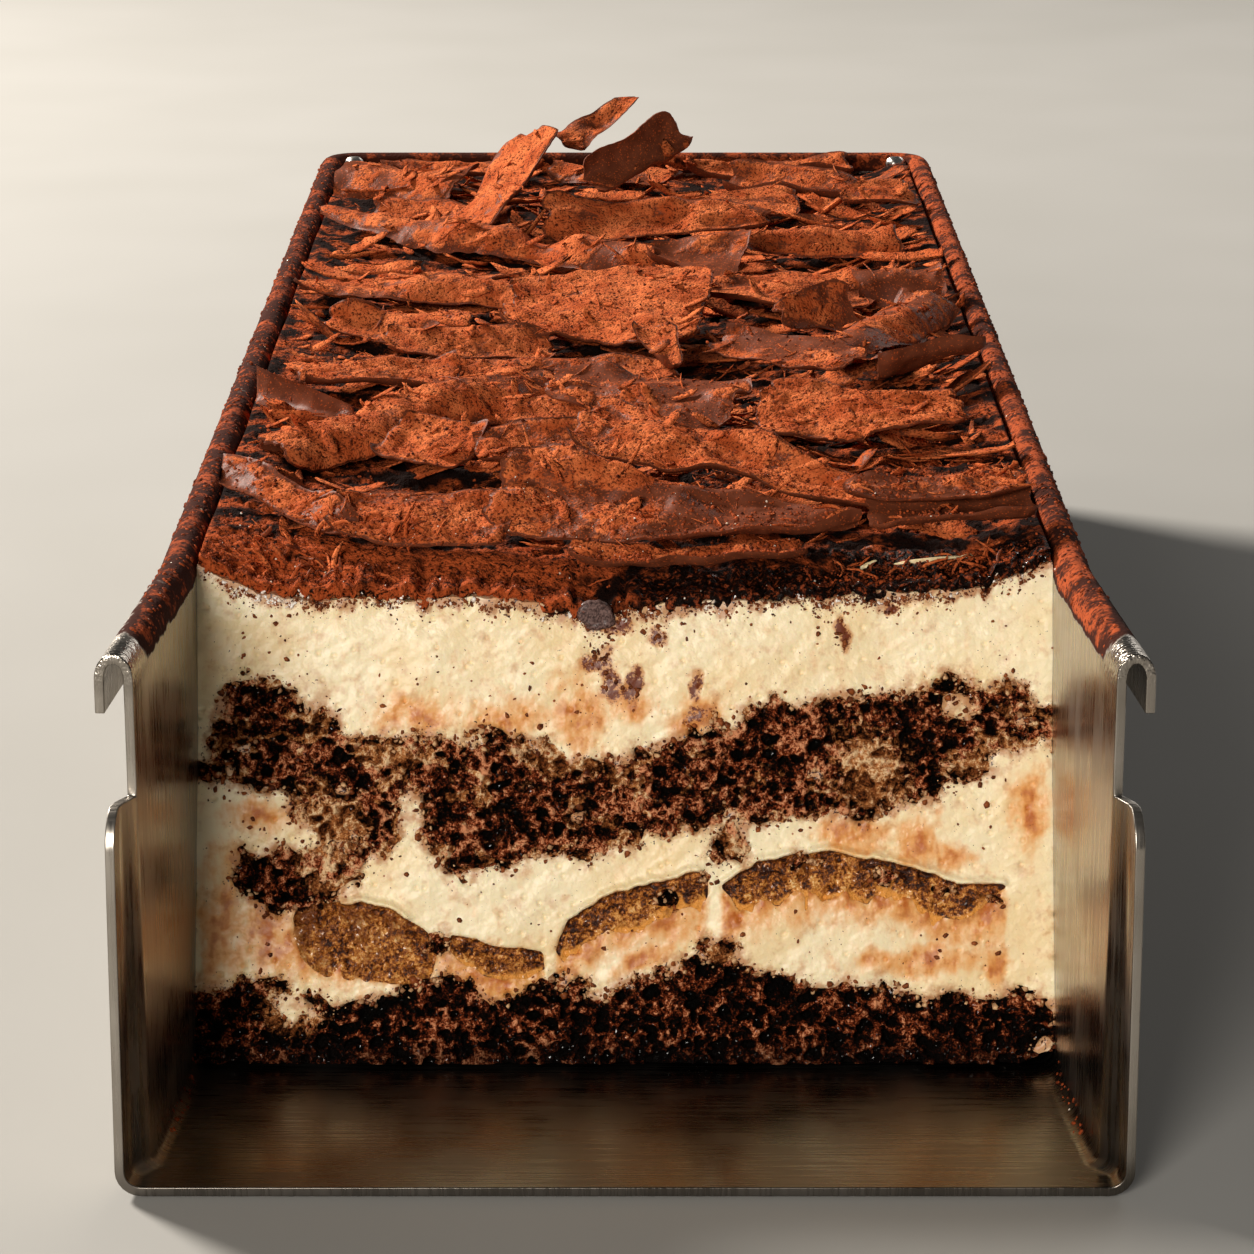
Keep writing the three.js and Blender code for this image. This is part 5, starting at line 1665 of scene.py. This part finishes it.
def laid_blobs(name, tree, blobs, material):
    """Lumps pressed into the bed: each is (x, back), its half sizes and its turn in degrees."""
    points, triangles = rounded_lump()
    spots = np.array([place for place, _, _ in blobs], dtype=float)
    places, normals = dropped_on(tree, spots[:, 0], spots[:, 1])
    turns = turned(normals, np.radians([turn for _, _, turn in blobs]), np.zeros(len(blobs)))
    sizes = np.array([size for _, size, _ in blobs]) * MM
    mesh = joined_copies(name, points, triangles, places, turns, sizes)
    finish_piece(name, mesh, material)


def rounded_lump():
    """An uneven rounded lump."""
    bm = ball(4)
    for vert in bm.verts:
        wave = float(uneven(vert.co.x * 5, vert.co.y * 2 + vert.co.z, 6))
        vert.co = Vector((vert.co.x, vert.co.y * (0.8 + 0.35 * wave), vert.co.z * (0.8 - 0.2 * wave)))
    return template_points(mesh_from(bm, "lump"))


def stuck_chunk(name, surface, spot, size, material):
    """A torn chunk stuck in the cut face at spot, with half sizes across, up and outwards."""
    bm = ball(4)
    corners = np.array([vert.co[:] for vert in bm.verts])
    lumpy = 0.9 + 0.35 * rough(corners[:, 0] * 1.3 + 5, corners[:, 1] * 1.3 + corners[:, 2], 120)
    lumpy = lumpy + 0.05 * noise(corners[:, 0] * 7, corners[:, 1] * 7, 124)
    for vert, stretch in zip(bm.verts, lumpy):
        vert.co = Vector((vert.co.x * stretch, vert.co.y * stretch, min(vert.co.z, 0.55) * stretch))
    turn = Euler((0, 0, math.radians(28)), "XYZ").to_matrix()
    bmesh.ops.rotate(bm, verts=bm.verts[:], cent=(0, 0, 0), matrix=turn)
    points, triangles = template_points(mesh_from(bm, "chunk"))
    places, _ = shown_at_cut(surface, np.array([spot[0]]), np.array([spot[1]]))
    turns = turned(FACE_NORMAL[None], np.zeros(1), np.zeros(1))
    mesh = joined_copies(name, points, triangles, places, turns, np.array([size]) * MM)
    finish_piece(name, mesh, material)


def clustered_crumbs(random, skins):
    """Places and sizes of the crumbs that lie in clusters."""
    spots = np.concatenate([
        np.stack([
            random.normal(cluster.x, cluster.spread_x, cluster.count),
            random.normal(cluster.z, cluster.spread_z, cluster.count),
        ], axis=1)
        for cluster in CRUMB_CLUSTERS
    ])
    places, shown = shown_at_cut(skins, spots[:, 0], np.clip(spots[:, 1], 2.5, 61))
    places = places[(shown != "") & (np.abs(spots[:, 0]) < FOOD_HALF_WIDTH - 0.6)]
    return places, 0.05 + 0.34 * random.random(len(places)) ** 3


def foot_crumbs(random, front):
    """Places and sizes of the crumbs that hang at the foot of the cocoa."""
    x = random.uniform(-54.5, 54.5, FOOT_CRUMBS)
    x = x[rough(x / 3.0, 0.0, 97) + random.random(len(x)) > 0.25]
    places, shown = shown_at_cut(front, x, ragged_foot(x) + 0.8 - random.exponential(0.6, len(x)))
    places = places[shown != ""]
    return places, 0.05 + 0.2 * random.random(len(places)) ** 2


def make_foot_sugar(random, front):
    """Sugar along the foot of the cocoa, most of it at the left."""
    x = np.concatenate([random.uniform(-52, 52, FOOT_SUGAR), random.uniform(-50.5, -41.5, LEFT_SUGAR)])
    x = x[(rough(x / 2.2, 0.0, 98) + random.random(len(x)) > 0.55) | (x < -41)]
    places, shown = shown_at_cut(front, x, ragged_foot(x) + random.uniform(0.1, 1.0, len(x)))
    material = grain_material("sugar_crumb", colour(214, 190, 166), colour(252, 246, 238), 0.5, 0.4)
    sizes = 0.08 + 0.24 * random.random(len(x)) ** 2
    crumb_piece("foot_sugar", places[shown != ""], sizes[shown != ""], random, material)


def make_face_crumbs():
    """Crumbs that the knife dragged over the cut: brown on the cream, creamy on the sponge."""
    random = np.random.default_rng(401)
    bed, _ = surface_tree(["cocoa_bed"])
    laid_blobs("cream_streaks", bed, CREAM_STREAKS, bpy.data.materials["mascarpone_cream"])
    pieces = ["cut_" + name for name in FOOD if name != "cocoa_top"]
    skins = surface_tree(pieces)
    front = surface_tree(pieces + ["cocoa_bed"])
    clustered = clustered_crumbs(random, skins)
    grey = grain_material("grey_chocolate", colour(48, 30, 27), colour(118, 92, 86), 0.1, 0.6, 0.3)
    stuck_chunk("chocolate_chunk", front, (-3.9, 58.6), (2.7, 2.1, 1.7), grey)
    hanging = foot_crumbs(random, front)
    make_foot_sugar(random, front)

    # pairs of spots near each other, to find the borders between cream and sponge
    x = random.uniform(-53.5, 53.5, BORDER_TRIES)
    z = random.uniform(2.5, 58, BORDER_TRIES)
    places, shown = shown_at_cut(skins, x, z)
    reach = np.abs(random.normal(0, 0.8, BORDER_TRIES))
    way = random.uniform(0, 2 * math.pi, BORDER_TRIES)
    beside_z = np.clip(z + reach * np.sin(way), 2, 60)
    _, beside = shown_at_cut(skins, x + reach * np.cos(way), beside_z)
    dark = ["cut_" + name for name in DARK_SPONGE]
    pale = ["cut_" + name for name in CREAM + SOAKED_SPONGE]

    strayed = places[np.isin(shown, pale) & np.isin(beside, dark)][:MOST_DARK_CRUMBS]
    crumbs = (clustered, hanging, (strayed, 0.09 + 0.36 * random.random(len(strayed)) ** 2))
    spots, sizes = (np.concatenate(parts) for parts in zip(*crumbs))
    crumb = grain_material("face_crumb", colour(62, 24, 9), colour(150, 80, 38), 0.1, 0.6)
    crumb_piece("face_crumbs", spots, sizes, random, crumb)

    smeared = places[np.isin(shown, dark) & np.isin(beside, pale)][:MOST_CREAM_CRUMBS]
    milky = grain_material("cream_crumb", colour(120, 70, 40), colour(222, 178, 130), 0.2, 0.5)
    sizes = 0.1 + 0.34 * random.random(len(smeared)) ** 2
    crumb_piece("cream_crumbs", smeared, sizes, random, milky)


# ---------------------------------------------------------------- stage


def area_light(light, strength):
    """One soft round lamp, turned towards its aim."""
    data = bpy.data.lights.new(light.name, "AREA")
    data.shape = "DISK"
    data.size = light.width
    data.energy = light.power * strength
    data.color = light.tint
    lamp = bpy.data.objects.new(light.name, data)
    lamp.location = light.place
    lamp.rotation_euler = (Vector(light.aim) - Vector(light.place)).to_track_quat("-Z", "Y").to_euler()
    bpy.context.scene.collection.objects.link(lamp)


def make_stage(settings):
    """Pale floor, soft lights and the camera that looks down on the open end."""
    scene = bpy.context.scene
    bm = bmesh.new()
    bmesh.ops.create_grid(bm, x_segments=1, y_segments=1, size=settings.floor_size / 2)
    just_under = -0.0002
    bmesh.ops.translate(bm, vec=(0, settings.floor_size / 4, just_under), verts=bm.verts[:])
    mesh = mesh_from(bm, "floor")
    floor = bpy.data.objects.new("floor", mesh)
    scene.collection.objects.link(floor)
    look = Finish("pale_floor", Roughness=0.75)
    cloud = look.noise(60.0, 1.0)
    look.drive("Base Color", look.blend(cloud, colour(158, 156, 151), colour(166, 164, 160)))
    mesh.materials.append(look.material)

    for light in LIGHTS:
        area_light(light, getattr(settings, light.name))
    world = bpy.data.worlds.new("studio")
    world.use_nodes = True
    background = world.node_tree.nodes["Background"]
    background.inputs["Color"].default_value = (1.0, 0.98, 0.95, 1.0)
    background.inputs["Strength"].default_value = settings.surround
    scene.world = world

    data = bpy.data.cameras.new("view")
    data.lens = settings.lens
    data.sensor_width = 36.0
    data.shift_x = settings.shift_x
    camera = bpy.data.objects.new("view", data)
    camera.location = (0.0, settings.camera_y, settings.camera_z)
    camera.rotation_euler = (math.pi / 2 - settings.pitch, 0.0, 0.0)
    scene.collection.objects.link(camera)
    scene.camera = camera
    scene.view_settings.view_transform = "Standard"
    scene.view_settings.look = "None"


# ---------------------------------------------------------------- settings


class CakeTinSettings(bpy.types.PropertyGroup):
    sheet_thickness: bpy.props.FloatProperty(
        name="Sheet thickness", description="Thickness of the tin's steel",
        default=SHEET * MM, min=0.0005, max=0.003, unit="LENGTH")
    edge_round: bpy.props.FloatProperty(
        name="Edge rounding", description="How far the sheet's cut edges are rounded",
        default=0.00022, min=0.00005, max=0.0005, unit="LENGTH")


class CakeFaceSettings(bpy.types.PropertyGroup):
    cell: bpy.props.FloatProperty(
        name="Mesh size", description="Size of the cells that model the cut face",
        default=0.00022, min=0.00015, max=0.001, unit="LENGTH")
    depth: bpy.props.FloatProperty(
        name="Skin depth", description="How far the skin of each layer reaches into the cake",
        default=0.003, min=0.001, max=0.01, unit="LENGTH")


class CakeToppingSettings(bpy.types.PropertyGroup):
    bed_columns: bpy.props.IntProperty(
        name="Columns", description="Cells across the cocoa bed", default=250, min=40, max=320)
    bed_rows: bpy.props.IntProperty(
        name="Rows", description="Cells along the cocoa bed", default=330, min=40, max=420)
    grain: bpy.props.FloatProperty(
        name="Powder grain", description="Size of the cocoa's grains on the chocolate",
        default=0.00036, min=0.0002, max=0.002, unit="LENGTH")
    amount: bpy.props.FloatProperty(
        name="Loose bits", description="How many flakes, threads and grains lie on top",
        default=1.0, min=0.0, max=1.1, subtype="FACTOR")


class CakeStageSettings(bpy.types.PropertyGroup):
    floor_size: bpy.props.FloatProperty(
        name="Floor size", description="Side of the floor", default=8.0, min=2.0, unit="LENGTH")
    key: bpy.props.FloatProperty(
        name="Key light", description="Strength of the light from the upper left", default=1.0, min=0.0)
    front: bpy.props.FloatProperty(
        name="Front light", description="Strength of the light on the cut face", default=1.0, min=0.0)
    rear: bpy.props.FloatProperty(
        name="Rear light", description="Strength of the light from behind", default=1.0, min=0.0)
    surround: bpy.props.FloatProperty(
        name="Surround", description="Brightness of the room around", default=0.06, min=0.0)
    lens: bpy.props.FloatProperty(
        name="Lens", description="Focal length in millimetres", default=116.27, min=20.0)
    camera_y: bpy.props.FloatProperty(
        name="Camera place", description="How far ahead of the cake the camera stands",
        default=-0.6228, unit="LENGTH")
    camera_z: bpy.props.FloatProperty(
        name="Camera height", description="Height of the camera", default=0.20876, unit="LENGTH")
    pitch: bpy.props.FloatProperty(
        name="Camera pitch", description="How far the camera looks down", default=0.293681,
        subtype="ANGLE")
    shift_x: bpy.props.FloatProperty(
        name="Shift", description="Moves the cake sideways in the frame", default=0.0016)


# ---------------------------------------------------------------- operators


class CAKE_OT_tin(bpy.types.Operator):
    """Folds the tin from one steel sheet and sets the solder in its corners"""
    bl_idname = "cake.tin"
    bl_label = "Make tin"

    def execute(self, context):
        make_tin(context.scene.cake_tin)
        return {"FINISHED"}


class CAKE_OT_cut_face(bpy.types.Operator):
    """Models the layers that show at the cut"""
    bl_idname = "cake.cut_face"
    bl_label = "Make cut face"

    def execute(self, context):
        make_cut_face(context.scene.cake_face)
        return {"FINISHED"}


class CAKE_OT_cocoa_bed(bpy.types.Operator):
    """Heaps the cocoa on the cream"""
    bl_idname = "cake.cocoa_bed"
    bl_label = "Make cocoa bed"

    def execute(self, context):
        make_cocoa_bed(context.scene.cake_topping)
        return {"FINISHED"}


class CAKE_OT_shavings(bpy.types.Operator):
    """Lays the chocolate shavings"""
    bl_idname = "cake.shavings"
    bl_label = "Make shavings"

    def execute(self, context):
        make_shavings(context.scene.cake_topping)
        return {"FINISHED"}


class CAKE_OT_loose_bits(bpy.types.Operator):
    """Scatters flakes, threads and grains over the top"""
    bl_idname = "cake.loose_bits"
    bl_label = "Scatter loose bits"

    def execute(self, context):
        make_loose_bits(context.scene.cake_topping)
        return {"FINISHED"}


class CAKE_OT_face_crumbs(bpy.types.Operator):
    """Drags crumbs over the cream of the cut face"""
    bl_idname = "cake.face_crumbs"
    bl_label = "Make face crumbs"

    def execute(self, context):
        make_face_crumbs()
        return {"FINISHED"}


class CAKE_OT_stage(bpy.types.Operator):
    """Sets the floor, the lights and the camera"""
    bl_idname = "cake.stage"
    bl_label = "Set stage"

    def execute(self, context):
        make_stage(context.scene.cake_stage)
        return {"FINISHED"}


OPERATORS = (
    CAKE_OT_tin, CAKE_OT_cut_face, CAKE_OT_cocoa_bed, CAKE_OT_shavings, CAKE_OT_loose_bits,
    CAKE_OT_face_crumbs, CAKE_OT_stage,
)


class CAKE_PT_panel(bpy.types.Panel):
    """Lists the settings and the steps of the cake"""
    bl_idname = "CAKE_PT_panel"
    bl_label = "Cake"
    bl_space_type = "VIEW_3D"
    bl_region_type = "UI"
    bl_category = "Cake"

    def draw(self, context):
        scene = context.scene
        for settings in (scene.cake_tin, scene.cake_face, scene.cake_topping, scene.cake_stage):
            box = self.layout.box()
            for key in settings.bl_rna.properties.keys():
                if key not in {"rna_type", "name"}:
                    box.prop(settings, key)
        for operator in OPERATORS:
            self.layout.operator(operator.bl_idname)


SETTINGS = {
    "cake_tin": CakeTinSettings,
    "cake_face": CakeFaceSettings,
    "cake_topping": CakeToppingSettings,
    "cake_stage": CakeStageSettings,
}


def register():
    for cls in (*SETTINGS.values(), *OPERATORS, CAKE_PT_panel):
        bpy.utils.register_class(cls)
    for key, cls in SETTINGS.items():
        setattr(bpy.types.Scene, key, bpy.props.PointerProperty(type=cls))


def unregister():
    for key in SETTINGS:
        delattr(bpy.types.Scene, key)
    for cls in reversed((*SETTINGS.values(), *OPERATORS, CAKE_PT_panel)):
        bpy.utils.unregister_class(cls)


def main():
    register()
    bpy.ops.cake.stage()
    bpy.ops.cake.tin()
    bpy.ops.cake.cut_face()
    bpy.ops.cake.cocoa_bed()
    bpy.ops.cake.shavings()
    bpy.ops.cake.loose_bits()
    bpy.ops.cake.face_crumbs()


if __name__ == "__main__":
    main()
